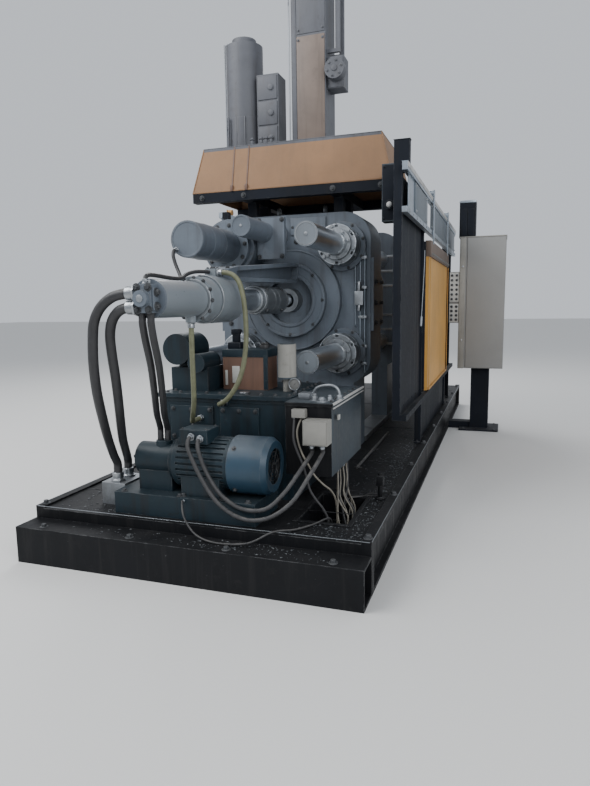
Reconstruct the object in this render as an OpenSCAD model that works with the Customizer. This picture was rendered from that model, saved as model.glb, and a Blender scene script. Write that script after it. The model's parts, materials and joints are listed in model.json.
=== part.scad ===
// Cold-chamber die casting machine: base, three platens on four tie bars, toggle clamp,
// injection end with its hydraulic unit, fume hood, spray column, guards and control cabinet.
// The axis of the machine runs along X, with the injection end at -X and the operator at -Y.

/* [Base] */
// Overall length of the base with its front step
base_length = 7100; // [7000:10:7400]
// Width of the base
base_width = 2260; // [2240:10:2400]
// Height of the deck above the floor
deck_height = 300; // [260:5:340]
// Depth of the low channel along the front of the base
step_depth = 190; // [160:5:220]
// Height of the low channel
step_height = 235; // [200:5:250]
// Wall of the low channel
step_wall = 14; // [8:1:20]
// Depth of the open channel along each side of the base
channel_depth = 45; // [20:5:90]
// Flange above and below the channel
channel_flange = 20; // [12:1:40]
// Web left solid at each end of the channel
channel_end = 70; // [40:5:120]
// Width of the raised rims along the deck
rim_width = 60; // [40:5:64]
// Height of the raised rims
rim_height = 15; // [8:1:25]
// Length of the cable pit in the deck
pit_length = 550; // [450:10:600]
// Width of the cable pit
pit_width = 310; // [260:10:330]
// Depth of the cable pit
pit_depth = 180; // [100:5:220]
// Width of each slide way on the deck
way_width = 190; // [150:5:220]
// Height of each slide way
way_height = 50; // [30:5:80]

/* [Platens and bars] */
// Height of the machine's axis
axis_height = 1650; // [1600:5:1700]
// Distance between tie bar centres, both ways
bar_spacing = 900; // [860:5:940]
// Tie bar diameter
bar_dia = 175; // [150:1:190]
// Length of tie bar that stands out of the fixed platen
bar_overhang = 1050; // [950:10:1100]
// Length of tie bar behind the end nuts
bar_tail = 190; // [100:10:300]
// Width of the platens
platen_width = 1380; // [1340:10:1440]
// Height of the platens
platen_height = 1480; // [1440:10:1520]
// Corner radius of the platens
platen_corner = 240; // [200:5:260]
// Distance of the fixed platen behind the near end of the base
fixed_setback = 2250; // [2200:5:2300]
// Thickness of the fixed platen
fixed_thick = 450; // [400:5:500]
// Free space between the fixed and the moving platen
die_space = 1200; // [1100:10:1300]
// Thickness of the moving platen
moving_thick = 400; // [340:5:450]
// Space for the toggle between the moving and the end platen
toggle_space = 1200; // [1150:10:1250]
// Thickness of the end platen
end_thick = 400; // [340:5:450]
// Thickness of the nuts at both ends
nut_thick = 180; // [140:5:210]
// Radius of the nuts
nut_radius = 165; // [150:1:175]
// Radius of the raised bosses round the tie bars
boss_radius = 205; // [195:1:210]
// Height of the raised bosses
boss_height = 40; // [20:1:60]
// Width of a platen leg
leg_width = 180; // [140:5:185]
// Radial clearance between a bar and what it passes through
bar_gap = 0.4; // [0.3:0.05:0.6]

/* [Toggle] */
// Distance of the outer toggle pins above and below the axis
toggle_rise = 330; // [300:5:350]
// How far the knee pins lie inside the line of the outer pins
knee_drop = 110; // [60:5:130]
// Distance of each row of links from the middle plane
link_offset = 200; // [190:1:210]
// Thickness of the single links
link_thick = 100; // [80:1:110]
// Thickness of the fork links and lugs
fork_thick = 46; // [40:1:50]
// Width of the links
link_width = 190; // [160:1:200]
// Width of the short drive links
drive_width = 124; // [116:1:140]
// Diameter of the toggle pins
pin_dia = 90; // [80:1:100]
// Distance of the outer toggle pins from their platens
lug_reach = 130; // [120:1:150]
// Side gap between links
link_gap = 1; // [0.5:0.1:2]
// Size of the crosshead along X
crosshead_length = 240; // [200:5:260]
// Bore radius of the closing cylinder's rod
closing_rod_radius = 60; // [50:1:70]
// Outer radius of the closing cylinder
closing_radius = 190; // [170:5:210]
// Length of the closing cylinder
closing_length = 1000; // [900:10:1050]

/* [Injection end] */
// Radius of the round flange in the middle of the fixed platen
flange_radius = 437; // [420:1:440]
// Thickness of the round flange
flange_thick = 60; // [40:1:80]
// Radius of the raised inner ring
ring_radius = 320; // [300:1:340]
// Height of the raised inner ring
ring_height = 60; // [40:1:80]
// Radius of the recess in the inner ring
recess_radius = 200; // [190:1:220]
// Outer radius of the shot sleeve
sleeve_radius = 100; // [90:1:110]
// Bore radius of the shot sleeve
sleeve_bore = 60; // [50:1:65]
// Length of the shot sleeve in front of the platen
sleeve_reach = 190; // [150:5:200]
// How far the shot cylinder's end cap stands out ahead of the base
cap_overhang = 180; // [150:5:200]
// Length of the end cap
cap_length = 70; // [62:2:90]
// Width of the end cap
cap_width = 100; // [90:2:110]
// Height of the end cap
cap_height = 150; // [146:2:170]
// Radius of the cylinder barrel
barrel_radius = 104; // [98:1:112]
// Length of the cylinder barrel
barrel_length = 480; // [470:5:500]
// Radius of the middle flange of the cylinder
collar_radius = 137; // [120:1:145]
// Length of the middle flange
collar_length = 120; // [100:5:140]
// Radius of the front section of the cylinder
head_radius = 150; // [146:1:160]
// Length of the front section
head_length = 315; // [300:5:330]
// Radius of the plunger rod
rod_radius = 76; // [60:1:80]
// Radius of the coupling on the plunger rod
coupling_radius = 108; // [95:1:120]
// Length of the coupling
coupling_length = 560; // [500:5:570]
// Gap between the cylinder and the coupling at rest
coupling_gap = 465; // [460:1:475]
// Length of the pour hole in the sleeve
pour_length = 90; // [60:1:110]
// Width of the pour hole
pour_width = 80; // [50:1:90]
// Radius of the plunger ahead of the coupling
plunger_radius = 48; // [40:1:50]
// Width of the cast arm that carries the cylinder
arm_width = 170; // [140:5:190]
// Depth of the pockets in the sides of the arm
arm_pocket = 50; // [20:5:60]
// Clearance between the arm and the coupling that runs under it
arm_clearance = 10; // [8:1:20]
// Radius of the pipes that feed the cylinder
feed_radius = 20; // [14:1:24]

/* [Pullers on the fixed platen] */
// Radius of the large drum on the upper rear bar
drum_radius = 230; // [220:1:240]
// Length of the large drum
drum_length = 400; // [370:5:420]
// Radius of the narrow end of the drum
drum_nose_radius = 135; // [120:1:150]
// Length of the narrow end of the drum
drum_nose_length = 660; // [640:5:700]
// Radius of the small cylinder beside the drum
core_radius = 82; // [75:1:88]
// Length of the small cylinder
core_length = 800; // [700:10:850]
// Distance of the small cylinder from the middle plane
core_y = 150; // [140:1:156]
// Height of the small cylinder above the axis
core_rise = 565; // [560:1:580]

/* [Hood] */
// Height of the hood's lower edge
hood_z = 2600; // [2580:5:2640]
// Height of the hood
hood_height = 385; // [340:5:420]
// Width of the hood at its lower edge
hood_width = 1780; // [1740:10:1840]
// Width of the hood at its top
hood_top_width = 1590; // [1540:10:1640]
// Front of the hood ahead of the fixed platen
hood_front = 150; // [120:5:180]
// Length of the hood at its lower edge
hood_length = 1050; // [1000:10:1100]
// How far the front and back lean in
hood_lean = 60; // [30:5:100]
// Sheet thickness of the hood
hood_wall = 8; // [5:1:12]
// Size of the beams under the hood
hood_beam = 80; // [60:5:90]

/* [Spray unit on the hood] */
// Width of the spray column
column_width = 310; // [280:10:340]
// Distance of the column's middle from the middle plane, towards the operator
column_shift = 99; // [80:1:120]
// Depth of the spray column
column_depth = 300; // [260:10:340]
// Height of the spray column above the hood
column_height = 1400; // [1200:10:1500]
// Distance of the column's near face behind the hood's front
column_back = 330; // [300:10:360]
// Radius of the pressure bottle
bottle_radius = 170; // [150:5:180]
// Height of the pressure bottle
bottle_height = 1030; // [950:10:1080]
// Distance of the bottle from the middle plane
bottle_y = 570; // [550:5:580]

/* [Guards] */
// Distance of the guard line inside the side of the base
guard_inset = 40; // [20:1:50]
// Distance of the near end of the guard behind the near end of the base
guard_setback = 1480; // [1450:5:1510]
// Length of the guard rail
guard_length = 4410; // [4380:10:4500]
// Height of the near guard posts above the rail
near_post_rise = 165; // [100:5:200]
// Near end of the guard on the far side, behind the fixed platen
rear_x = -470; // [-520:10:-420]
// Height of the middle of the guard rail
rail_z = 2560; // [2540:5:2580]
// Height of the rail section
rail_height = 60; // [50:1:80]
// Height of the lower rail of the guard header
header_z = 2265; // [2240:5:2290]
// Length of each light plate between the two rails
header_plate = 420; // [300:10:500]
// Light plates along the header
header_count = 6; // [4:1:8]
// Thickness of the rail
rail_thick = 40; // [30:1:50]
// Side of the guard posts
guard_post = 60; // [50:1:80]
// Thickness of the fixed guard panels
panel_thick = 20; // [10:1:30]
// Distance of the sliding door behind the near end of the guard
door_setback = 1400; // [1380:5:1430]
// Length of the sliding door
door_length = 1860; // [1800:10:1900]
// Lower edge of the sliding door
door_z = 790; // [760:5:820]
// Height of the sliding door
door_height = 1390; // [1340:10:1440]
// Thickness of the sliding door
door_thick = 45; // [30:1:60]
// Running gap between the door and the posts behind it
door_gap = 12; // [6:1:15]
// Running gap between the rail and the door's hangers
hanger_gap = 6; // [5:0.5:8]
// Radius of the hanger rollers
roller_radius = 30; // [24:1:36]

/* [Hydraulic unit] */
// Distance of the oil tank behind the near end of the base
tank_setback = 800; // [770:5:850]
// Length of the oil tank
tank_length = 750; // [700:5:780]
// Near side of the oil tank along Y
tank_y = -475; // [-500:5:-450]
// Width of the oil tank
tank_width = 975; // [900:5:1000]
// Height of the oil tank
tank_height = 680; // [640:5:720]
// Thickness of the tank lid
lid_thick = 30; // [15:1:40]
// Width of the side box
side_width = 305; // [280:5:330]
// Length of the side box
side_length = 830; // [780:5:860]
// Height of the side box
side_height = 470; // [430:5:500]
// Height of the motor's axis above the deck
motor_rise = 330; // [320:5:340]
// Distance of the motor's axis behind the near end of the base
motor_setback = 450; // [430:5:460]
// Radius of the fan cowl
cowl_radius = 180; // [175:1:190]
// Length of the fan cowl
cowl_length = 250; // [220:5:270]
// Radius of the motor body
motor_radius = 165; // [150:1:170]
// Length of the motor body
motor_length = 380; // [360:5:400]
// Cooling fins round the motor body
motor_fins = 28; // [20:1:36]
// Depth of the grooves between the fins
fin_depth = 14; // [8:1:20]
// Radius of the oil pump
pump_radius = 105; // [90:1:120]
// Length of the oil pump
pump_length = 300; // [260:5:320]

/* [Control cabinet] */
// Distance of the cabinet behind the near end of the base
cabinet_setback = 4950; // [4930:5:5000]
// Length of the cabinet
cabinet_length = 500; // [400:10:600]
// Gap between the side of the base and the cabinet
cabinet_gap = 105; // [90:5:130]
// Width of the cabinet
cabinet_width = 540; // [500:10:600]
// Height of the cabinet's underside
cabinet_z = 800; // [760:10:850]
// Height of the cabinet
cabinet_height = 1600; // [1500:10:1650]
// Side of the stand's column
stand_side = 220; // [180:10:260]
// Side of the stand's foot plate
foot_side = 480; // [400:10:520]

/* [Hidden] */

// Fineness of round edges
fine = 64;
// Overlap used where two shapes of one piece are joined or cut through
eps = 1;

// Stations along X
base_x0 = -base_length / 2;
fixed_x = base_x0 + fixed_setback;
cap_x = base_x0 - cap_overhang;
guard_x = base_x0 + guard_setback;
door_x = guard_x + door_setback;
tank_x = base_x0 + tank_setback;
motor_x = base_x0 + motor_setback;
cabinet_x = base_x0 + cabinet_setback;
deck_x0 = base_x0 + step_depth;
deck_x1 = base_length / 2;
fixed_back = fixed_x + fixed_thick;
moving_x = fixed_back + die_space;
moving_back = moving_x + moving_thick;
end_x = moving_back + toggle_space;
end_back = end_x + end_thick;
bar_x0 = fixed_x - bar_overhang;
bar_x1 = end_back + nut_thick + bar_tail;
nut_x = fixed_x - boss_height - nut_thick;
flange_x = fixed_x - flange_thick;
ring_x = flange_x - ring_height;
barrel_x = cap_x + cap_length;
collar_x = barrel_x + barrel_length;
head_x = collar_x + collar_length;
head_end = head_x + head_length;
coupling_x = head_end + coupling_gap;
coupling_end = coupling_x + coupling_length;
hood_x = fixed_x - hood_front;
guard_y = base_width / 2 - guard_inset;
cabinet_y = -base_width / 2 - cabinet_gap;
hood_back_x = hood_x + hood_length;
hood_top = hood_z + hood_height;
column_x = hood_x + column_back;
guard_x1 = guard_x + guard_length;
tank_top = deck_height + tank_height;
lid_top = tank_top + lid_thick;
half_bar = bar_spacing / 2;
bar_radius = bar_dia / 2;
way_top = deck_height + way_height;
platen_low = axis_height - platen_height / 2;
platen_top = axis_height + platen_height / 2;
motor_z = deck_height + motor_rise;
pin_radius = pin_dia / 2;
knee_rise = toggle_rise - knee_drop;
pin_gap = 0.4;

// Toggle pin stations
moving_pin_x = moving_back + lug_reach;
end_pin_x = end_x - lug_reach;
knee_x = (moving_pin_x + end_pin_x) / 2;
crosshead_x = knee_x + 280;
drive_rise = pin_dia;

module along_x(x, y, z) {
    translate([x, y, z]) rotate([90, 0, 90]) children();
}

module rod_x(x0, x1, y, z, r) {
    along_x(x0, y, z) cylinder(h = x1 - x0, r = r, $fn = fine);
}

module rod_y(y0, y1, x, z, r) {
    translate([x, y0, z]) rotate([-90, 0, 0]) cylinder(h = y1 - y0, r = r, $fn = fine);
}

module rod_z(z0, z1, x, y, r) {
    translate([x, y, z0]) cylinder(h = z1 - z0, r = r, $fn = fine);
}

module box(x0, x1, y0, y1, z0, z1) {
    translate([x0, y0, z0]) cube([x1 - x0, y1 - y0, z1 - z0]);
}

module at_bars() {
    for (sy = [-1, 1]) {
        for (sz = [-1, 1]) {
            translate([0, sy * half_bar, axis_height + sz * half_bar]) children();
        }
    }
}

// Base
module bed_frame() {
    half = base_width / 2;
    color([0.13, 0.14, 0.16])
    difference() {
        union() {
            box(deck_x0, deck_x1, -half, half, 0, deck_height);
            each_side() box(deck_x0, deck_x1, half - rim_width, half, deck_height - eps, deck_height + rim_height);
        }
        each_side()
        box(deck_x0 + channel_end, deck_x1 - channel_end, half - channel_depth, half + eps,
            channel_flange, deck_height - channel_flange);
        box(pit_x, pit_x + pit_length, pit_y, pit_y + pit_width, deck_height - pit_depth, deck_height + eps);
    }
}

module front_step() {
    color([0.13, 0.14, 0.16])
    difference() {
        box(base_x0, deck_x0, -base_width / 2, base_width / 2, 0, step_height);
        box(base_x0 + step_wall, deck_x0 + eps, -base_width / 2 - eps, base_width / 2 + eps,
            step_wall, step_height - step_wall);
    }
}

module slide_ways() {
    color([0.45, 0.47, 0.48])
    for (side = [-1, 1]) {
        box(fixed_back + 40, bar_x1, side * half_bar - way_width / 2, side * half_bar + way_width / 2,
            deck_height, way_top);
    }
}

// Platens and bars
module platen_outline() {
    w = platen_width / 2;
    h = platen_height / 2;
    c = platen_corner;
    square([2 * w, 2 * (h - c)], center = true);
    square([2 * (w - c), 2 * h], center = true);
    for (sy = [-1, 1]) {
        for (sz = [-1, 1]) {
            translate([sy * (w - c), sz * (h - c)]) circle(r = c, $fn = fine);
        }
    }
}

module platen_block(x0, thick) {
    along_x(x0, 0, axis_height) linear_extrude(thick) platen_outline();
}

module platen_legs(x0, thick, foot_z) {
    for (side = [-1, 1]) {
        box(x0, x0 + thick, side * half_bar - leg_width / 2, side * half_bar + leg_width / 2,
            foot_z, platen_low + platen_corner);
    }
}

module bar_bores(x0, x1) {
    at_bars() rod_x(x0 - eps, x1 + eps, 0, 0, bar_radius + bar_gap);
}

// Raised pad on the side of the fixed platen, cut off aslant at its top
pad_height = 25;
module side_pad() {
    translate([0, platen_width / 2 + pad_height, 0]) rotate([90, 0, 0])
    linear_extrude(pad_height + eps)
    polygon([
        [fixed_x + 10, axis_height - 270], [fixed_back - 30, axis_height - 220],
        [fixed_back - 30, axis_height + 180], [fixed_x + 10, axis_height + 350]
    ]);
}

module fixed_platen() {
    color([0.33, 0.43, 0.48])
    difference() {
        union() {
            platen_block(fixed_x, fixed_thick);
            platen_legs(fixed_x, fixed_thick, deck_height);
            at_bars() rod_x(fixed_x - boss_height, fixed_x + eps, 0, 0, boss_radius);
            each_side() side_pad();
        }
        bar_bores(fixed_x - boss_height, fixed_back);
        rod_x(fixed_x - eps, fixed_back + eps, 0, axis_height, sleeve_radius + bar_gap);
        rod_x(fixed_x - boss_height - eps, fixed_x, 0, axis_height, flange_radius + bar_gap);
    }
}

module link_lugs(x_platen, x_pin, offsets, thick) {
    for (up = [-1, 1]) {
        for (side = [-1, 1]) {
            for (o = offsets) {
                y = side * link_offset + o;
                z = axis_height + up * toggle_rise;
                box(min(x_platen, x_pin), max(x_platen, x_pin), y - thick / 2, y + thick / 2,
                    z - link_width / 2, z + link_width / 2);
                rod_y(y - thick / 2, y + thick / 2, x_pin, z, link_width / 2);
            }
        }
    }
}

module lug_bores(x_pin) {
    reach = link_offset + link_thick;
    for (up = [-1, 1]) {
        rod_y(-reach - eps, reach + eps, x_pin, axis_height + up * toggle_rise, pin_radius + pin_gap);
    }
}

// Offset of the fork plates on both sides of a single link
fork_offset = link_thick / 2 + link_gap + fork_thick / 2;

module moving_platen() {
    color([0.31, 0.41, 0.46])
    difference() {
        union() {
            platen_block(moving_x, moving_thick);
            platen_legs(moving_x, moving_thick, way_top);
            link_lugs(moving_back - eps, moving_pin_x, [-fork_offset, fork_offset], fork_thick);
        }
        bar_bores(moving_x, moving_back);
        lug_bores(moving_pin_x);
    }
}

module end_platen() {
    color([0.31, 0.41, 0.46])
    difference() {
        union() {
            platen_block(end_x, end_thick);
            platen_legs(end_x, end_thick, way_top);
            link_lugs(end_x + eps, end_pin_x, [0], link_thick);
        }
        bar_bores(end_x, end_back);
        lug_bores(end_pin_x);
        rod_x(end_x - eps, end_back + eps, 0, axis_height, closing_rod_radius + bar_gap);
    }
}

module tie_bars() {
    color([0.72, 0.76, 0.80])
    at_bars() rod_x(bar_x0, bar_x1, 0, 0, bar_radius);
}

module ring_nut(x0) {
    notch = (nut_radius - bar_radius) / 3;
    difference() {
        rod_x(x0, x0 + nut_thick, 0, 0, nut_radius);
        rod_x(x0 - eps, x0 + nut_thick + eps, 0, 0, bar_radius + bar_gap);
        for (a = [0 : 60 : 300]) {
            rotate([a, 0, 0])
            box(x0 - eps, x0 + nut_thick / 2, -notch / 2, notch / 2, nut_radius - notch, nut_radius + eps);
        }
    }
}

// The upper rear bar is held by its puller, the other three by nuts
module bar_nuts() {
    color([0.38, 0.42, 0.45])
    for (place = [[-1, 1], [-1, -1], [1, -1]]) {
        translate([0, place[0] * half_bar, axis_height + place[1] * half_bar]) ring_nut(nut_x);
    }
}

module end_nuts() {
    color([0.38, 0.42, 0.45])
    at_bars() ring_nut(end_back);
}

// Toggle
// A plate with round ends between two pins of the XZ plane
waist = 0.75;
module link_plate(a, b, y, thick, width) {
    run = [b[0] - a[0], b[1] - a[1]];
    length = norm(run);
    angle = atan2(run[1], run[0]);
    translate([a[0], y + thick / 2, a[1]])
    rotate([90, -angle, 0])
    linear_extrude(thick)
    difference() {
        union() {
            circle(r = width / 2, $fn = fine);
            translate([length, 0]) circle(r = width / 2, $fn = fine);
            translate([0, -width * waist / 2]) square([length, width * waist]);
        }
        circle(r = pin_radius + pin_gap, $fn = fine);
        translate([length, 0]) circle(r = pin_radius + pin_gap, $fn = fine);
    }
}

module at_toggle_rows() {
    for (up = [-1, 1]) {
        for (side = [-1, 1]) {
            $up = up;
            $side = side;
            children();
        }
    }
}

module front_links() {
    color([0.30, 0.34, 0.37])
    at_toggle_rows()
    link_plate([moving_pin_x, axis_height + $up * toggle_rise],
        [knee_x, axis_height + $up * knee_rise], $side * link_offset, link_thick, link_width);
}

module rear_links() {
    color([0.30, 0.34, 0.37])
    at_toggle_rows()
    for (o = [-fork_offset, fork_offset]) {
        link_plate([knee_x, axis_height + $up * knee_rise],
            [end_pin_x, axis_height + $up * toggle_rise], $side * link_offset + o, fork_thick, link_width);
    }
}

// Short links between the crosshead and the knee pins
drive_offset = link_offset - link_thick / 2 - 2 * link_gap - fork_thick * 1.5;
module drive_links() {
    color([0.30, 0.34, 0.37])
    at_toggle_rows()
    link_plate([knee_x, axis_height + $up * knee_rise],
        [crosshead_x, axis_height + $up * drive_rise], $side * drive_offset, fork_thick, drive_width);
}

module toggle_pins() {
    reach = link_offset + link_thick / 2 + link_gap + fork_thick + 12;
    color([0.55, 0.57, 0.58])
    for (up = [-1, 1]) {
        rod_y(-reach, reach, moving_pin_x, axis_height + up * toggle_rise, pin_radius);
        rod_y(-reach, reach, knee_x, axis_height + up * knee_rise, pin_radius);
        rod_y(-reach, reach, end_pin_x, axis_height + up * toggle_rise, pin_radius);
    }
}

module crosshead() {
    half = drive_offset - fork_thick / 2 - link_gap;
    x = crosshead_x;
    color([0.34, 0.38, 0.40])
    union() {
        box(x - crosshead_length / 2, x + crosshead_length / 2, -half, half,
            axis_height - 150, axis_height + 150);
        for (up = [-1, 1]) {
            rod_y(-half - link_gap - fork_thick, half + link_gap + fork_thick,
                x, axis_height + up * drive_rise, pin_radius);
        }
    }
}

module closing_cylinder() {
    color([0.33, 0.42, 0.46])
    union() {
        rod_x(crosshead_x + crosshead_length / 2, end_back + eps, 0, axis_height, closing_rod_radius);
        rod_x(end_back, end_back + 60, 0, axis_height, closing_radius + 50);
        rod_x(end_back + 60 - eps, end_back + closing_length - 70, 0, axis_height, closing_radius);
        rod_x(end_back + closing_length - 70 - eps, end_back + closing_length, 0, axis_height,
            closing_radius + 30);
    }
}

// Injection end
module centre_flange() {
    color([0.37, 0.45, 0.50])
    difference() {
        union() {
            rod_x(flange_x, fixed_x, 0, axis_height, flange_radius);
            rod_x(ring_x, flange_x + eps, 0, axis_height, ring_radius);
        }
        rod_x(ring_x - eps, ring_x + ring_height, 0, axis_height, recess_radius);
        rod_x(ring_x - eps, fixed_x + eps, 0, axis_height, sleeve_radius + bar_gap);
        at_bars() rod_x(ring_x - eps, fixed_x + eps, 0, 0, boss_radius + bar_gap);
    }
}

module shot_sleeve() {
    x0 = fixed_x - sleeve_reach;
    color([0.25, 0.26, 0.27])
    difference() {
        rod_x(x0, fixed_back, 0, axis_height, sleeve_radius);
        rod_x(x0 - eps, fixed_back + eps, 0, axis_height, sleeve_bore);
        box(x0 + 20, x0 + 20 + pour_length, -pour_width / 2, pour_width / 2,
            axis_height, axis_height + sleeve_radius + eps);
    }
}

rod_gap = 0.4;
port_side = 35;
port_x = head_x + 150;
port_z = axis_height + head_radius + 18;
port_radius = 32;
low_port_x = collar_x - port_radius - 8;
module shot_cylinder() {
    color([0.62, 0.70, 0.76])
    difference() {
        union() {
            rod_x(barrel_x, collar_x + eps, 0, axis_height, barrel_radius);
            rod_x(collar_x, head_x + eps, 0, axis_height, collar_radius);
            rod_x(head_x, head_end, 0, axis_height, head_radius);
            box(port_x - port_side, port_x + port_side, -port_side, port_side, axis_height, port_z + 25);
            rod_z(axis_height - barrel_radius - port_radius, axis_height, low_port_x, 0, port_radius);
        }
        rod_x(barrel_x + 150, head_end + eps, 0, axis_height, rod_radius + rod_gap);
    }
}

module cylinder_cap() {
    color([0.40, 0.47, 0.50])
    union() {
        box(cap_x, barrel_x, -cap_width / 2, cap_width / 2, axis_height - cap_height / 2, axis_height + cap_height / 2);
        rod_x(cap_x - 30, cap_x + eps, 0, axis_height, 42);
        rod_x(barrel_x - 8, barrel_x, 0, axis_height, barrel_radius);
    }
}

// The arm sits on the front of the cylinder and rises to the inner ring of the round flange
arm_low = 210;
arm_rim = 28;
module arm_profile() {
    clear_z = axis_height + coupling_radius + arm_clearance;
    polygon([
        [head_x + arm_low, axis_height], [head_end, axis_height], [head_end, clear_z],
        [ring_x - 2 * arm_rim, clear_z + arm_rim], [ring_x, axis_height + recess_radius + 10],
        [ring_x, axis_height + ring_radius - 10], [ring_x - 150, axis_height + ring_radius - 12],
        [head_end + 60, axis_height + head_radius + 70], [head_x + arm_low, axis_height + head_radius + 45]
    ]);
}

module cylinder_arm() {
    color([0.30, 0.38, 0.42])
    difference() {
        translate([0, arm_width / 2, 0]) rotate([90, 0, 0]) linear_extrude(arm_width) arm_profile();
        rod_x(head_x, head_end + eps, 0, axis_height, head_radius);
        box(head_x, head_end + eps, -arm_width, arm_width, axis_height - eps, axis_height + head_radius / 2);
        each_side()
        translate([0, arm_width / 2 + eps, 0]) rotate([90, 0, 0])
        linear_extrude(arm_pocket + eps)
        offset(delta = -arm_rim)
        intersection() {
            arm_profile();
            translate([head_end, 0]) square([ring_x - head_end, axis_height * 2]);
        }
    }
}

// Two pipes from the pump feed the end cap from below
module feed_pipes() {
    color([0.12, 0.14, 0.17])
    for (side = [-1, 1]) {
        hose([for (p = feed_route) p + [0, side * feed_radius * 1.3, 0]], feed_radius, 4, [1, 0, 0]);
    }
}

module plunger_rod() {
    color([0.70, 0.73, 0.76])
    union() {
        rod_x(head_x - collar_length / 2, coupling_x, 0, axis_height, rod_radius);
        rod_x(coupling_end, fixed_back - 260, 0, axis_height, plunger_radius);
        rod_x(fixed_back - 260 - eps, fixed_back - 200, 0, axis_height, sleeve_bore - rod_gap);
    }
}

module plunger_coupling() {
    neck = 40;
    color([0.55, 0.57, 0.58])
    union() {
        rod_x(coupling_x, coupling_x + neck, 0, axis_height, coupling_radius - 14);
        rod_x(coupling_x + neck - eps, coupling_end - neck + eps, 0, axis_height, coupling_radius);
        rod_x(coupling_end - neck, coupling_end, 0, axis_height, coupling_radius - 30);
    }
}

module bar_puller() {
    y = half_bar;
    z = axis_height + half_bar;
    x1 = fixed_x - boss_height;
    x0 = x1 - drum_length;
    color([0.34, 0.42, 0.46])
    difference() {
        union() {
            rod_x(x0, x1, y, z, drum_radius - 25);
            rod_x(x0 + 60, x1 - 60, y, z, drum_radius);
            rod_x(x0 - drum_nose_length, x0 + eps, y, z, drum_nose_radius);
        }
        rod_x(bar_x0 - eps, x1 + eps, y, z, bar_radius + bar_gap);
    }
}

module core_cylinder() {
    z = axis_height + core_rise;
    color([0.40, 0.50, 0.55])
    union() {
        rod_x(fixed_x - core_length, fixed_x, core_y, z, core_radius);
        rod_x(fixed_x - boss_height + 2, fixed_x, core_y, z, core_radius + 25);
        box(fixed_x - 320, fixed_x - 280, core_y - 180, half_bar - drum_radius - 8, z - 220, z + 115);
    }
}

// Hood and what stands on it
module hood_solid(inset) {
    hull() {
        box(hood_x + inset, hood_back_x - inset, -hood_width / 2 + inset, hood_width / 2 - inset,
            hood_z, hood_z + 1);
        box(hood_x + hood_lean + inset, hood_back_x - hood_lean - inset,
            -hood_top_width / 2 + inset, hood_top_width / 2 - inset,
            hood_top - 1 - inset, hood_top - inset);
    }
}

module fume_hood() {
    color([0.85, 0.50, 0.15])
    difference() {
        hood_solid(0);
        translate([0, 0, -eps]) hood_solid(hood_wall);
    }
}

// Distance of the long beams and their posts from the middle plane
beam_y = 400;
module hood_beams() {
    z0 = hood_z - hood_beam;
    half = hood_beam / 2;
    color([0.12, 0.14, 0.18])
    for (x = [hood_x, hood_back_x - hood_beam]) {
        box(x, x + hood_beam, -hood_width / 2, hood_width / 2, z0, hood_z);
    }
    color([0.12, 0.14, 0.18])
    for (side = [-1, 1]) {
        box(hood_x + hood_beam, hood_back_x - hood_beam, side * beam_y - half, side * beam_y + half,
            z0, hood_z);
        for (x = [fixed_x + half, fixed_back - half - hood_beam]) {
            box(x, x + hood_beam, side * beam_y - half, side * beam_y + half, platen_top, z0);
        }
    }
}

column_y0 = -column_shift - column_width / 2;
column_y1 = -column_shift + column_width / 2;
guide_z = hood_top + 780;

// The column and the guide rails on its side
module spray_column() {
    color([0.30, 0.33, 0.38])
    union() {
        box(column_x, column_x + column_depth, column_y0, column_y1, hood_top, hood_top + column_height);
        for (x = [column_x + 60, column_x + 200]) {
            box(x, x + 30, column_y0 - 110, column_y0 + eps, guide_z, guide_z + 30);
            box(x, x + 30, column_y0 - 110, column_y0 + eps, hood_top + column_height - 60, hood_top + column_height - 30);
            box(x, x + 30, column_y0 - 110, column_y0 - 70, guide_z, hood_top + column_height);
        }
    }
}

module spray_drive() {
    z = hood_top + 480;
    color([0.20, 0.24, 0.28])
    union() {
        box(column_x + 40, column_x + 200, column_y0 - 150, column_y0, z, z + 260);
        rod_x(column_x - 60, column_x + 41, column_y0 - 90, z + 130, 85);
    }
}

module pressure_bottle() {
    x = column_x + bottle_radius;
    color([0.28, 0.31, 0.33])
    union() {
        rod_z(hood_top, hood_top + bottle_height - 60, x, bottle_y, bottle_radius);
        rod_z(hood_top + bottle_height - 60 - eps, hood_top + bottle_height, x, bottle_y, bottle_radius - 60);
    }
}

module valve_box() {
    color([0.22, 0.24, 0.28])
    box(column_x + 20, column_x + 220, bottle_y - bottle_radius - 210, bottle_y - bottle_radius - 5,
        hood_top, hood_top + 665);
}

// Guards: the rail carries the sliding door by rollers that run on its top
hanger_y = guard_y + rail_thick / 2 + hanger_gap;
post_y = hanger_y - door_thick - door_gap - guard_post;
post_x = [guard_x + 70, door_x - guard_post - 20, door_x + door_length + 430, guard_x1 - guard_post - 50];
header_thick = 8;
rail_top = rail_z + rail_height / 2;
sill_size = 40;
sill_z = door_z - door_gap - sill_size;
door_top = door_z + door_height;
rear_post_x = [rear_x, post_x[2], post_x[3]];

module each_side() {
    children();
    mirror([0, 1, 0]) children();
}

// The header of two rails with light plates between them, and the sills under the doors
module rails_from(start, sill_start) {
    box(start, guard_x1, guard_y - rail_thick / 2, guard_y + rail_thick / 2,
        rail_z - rail_height / 2, rail_top);
    box(start, guard_x1, guard_y - rail_thick / 2, guard_y + rail_thick / 2,
        header_z - rail_thick / 2, header_z + rail_thick / 2);
    for (i = [0 : header_count - 1]) {
        x = guard_x + (i + 0.5) * guard_length / header_count - header_plate / 2;
        if (x > start)
            box(x, x + header_plate, guard_y - header_thick / 2, guard_y + header_thick / 2,
                header_z, rail_z);
    }
    box(sill_start, post_x[3] + guard_post, guard_y - sill_size / 2, guard_y + sill_size / 2,
        sill_z, sill_z + sill_size);
}

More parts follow.
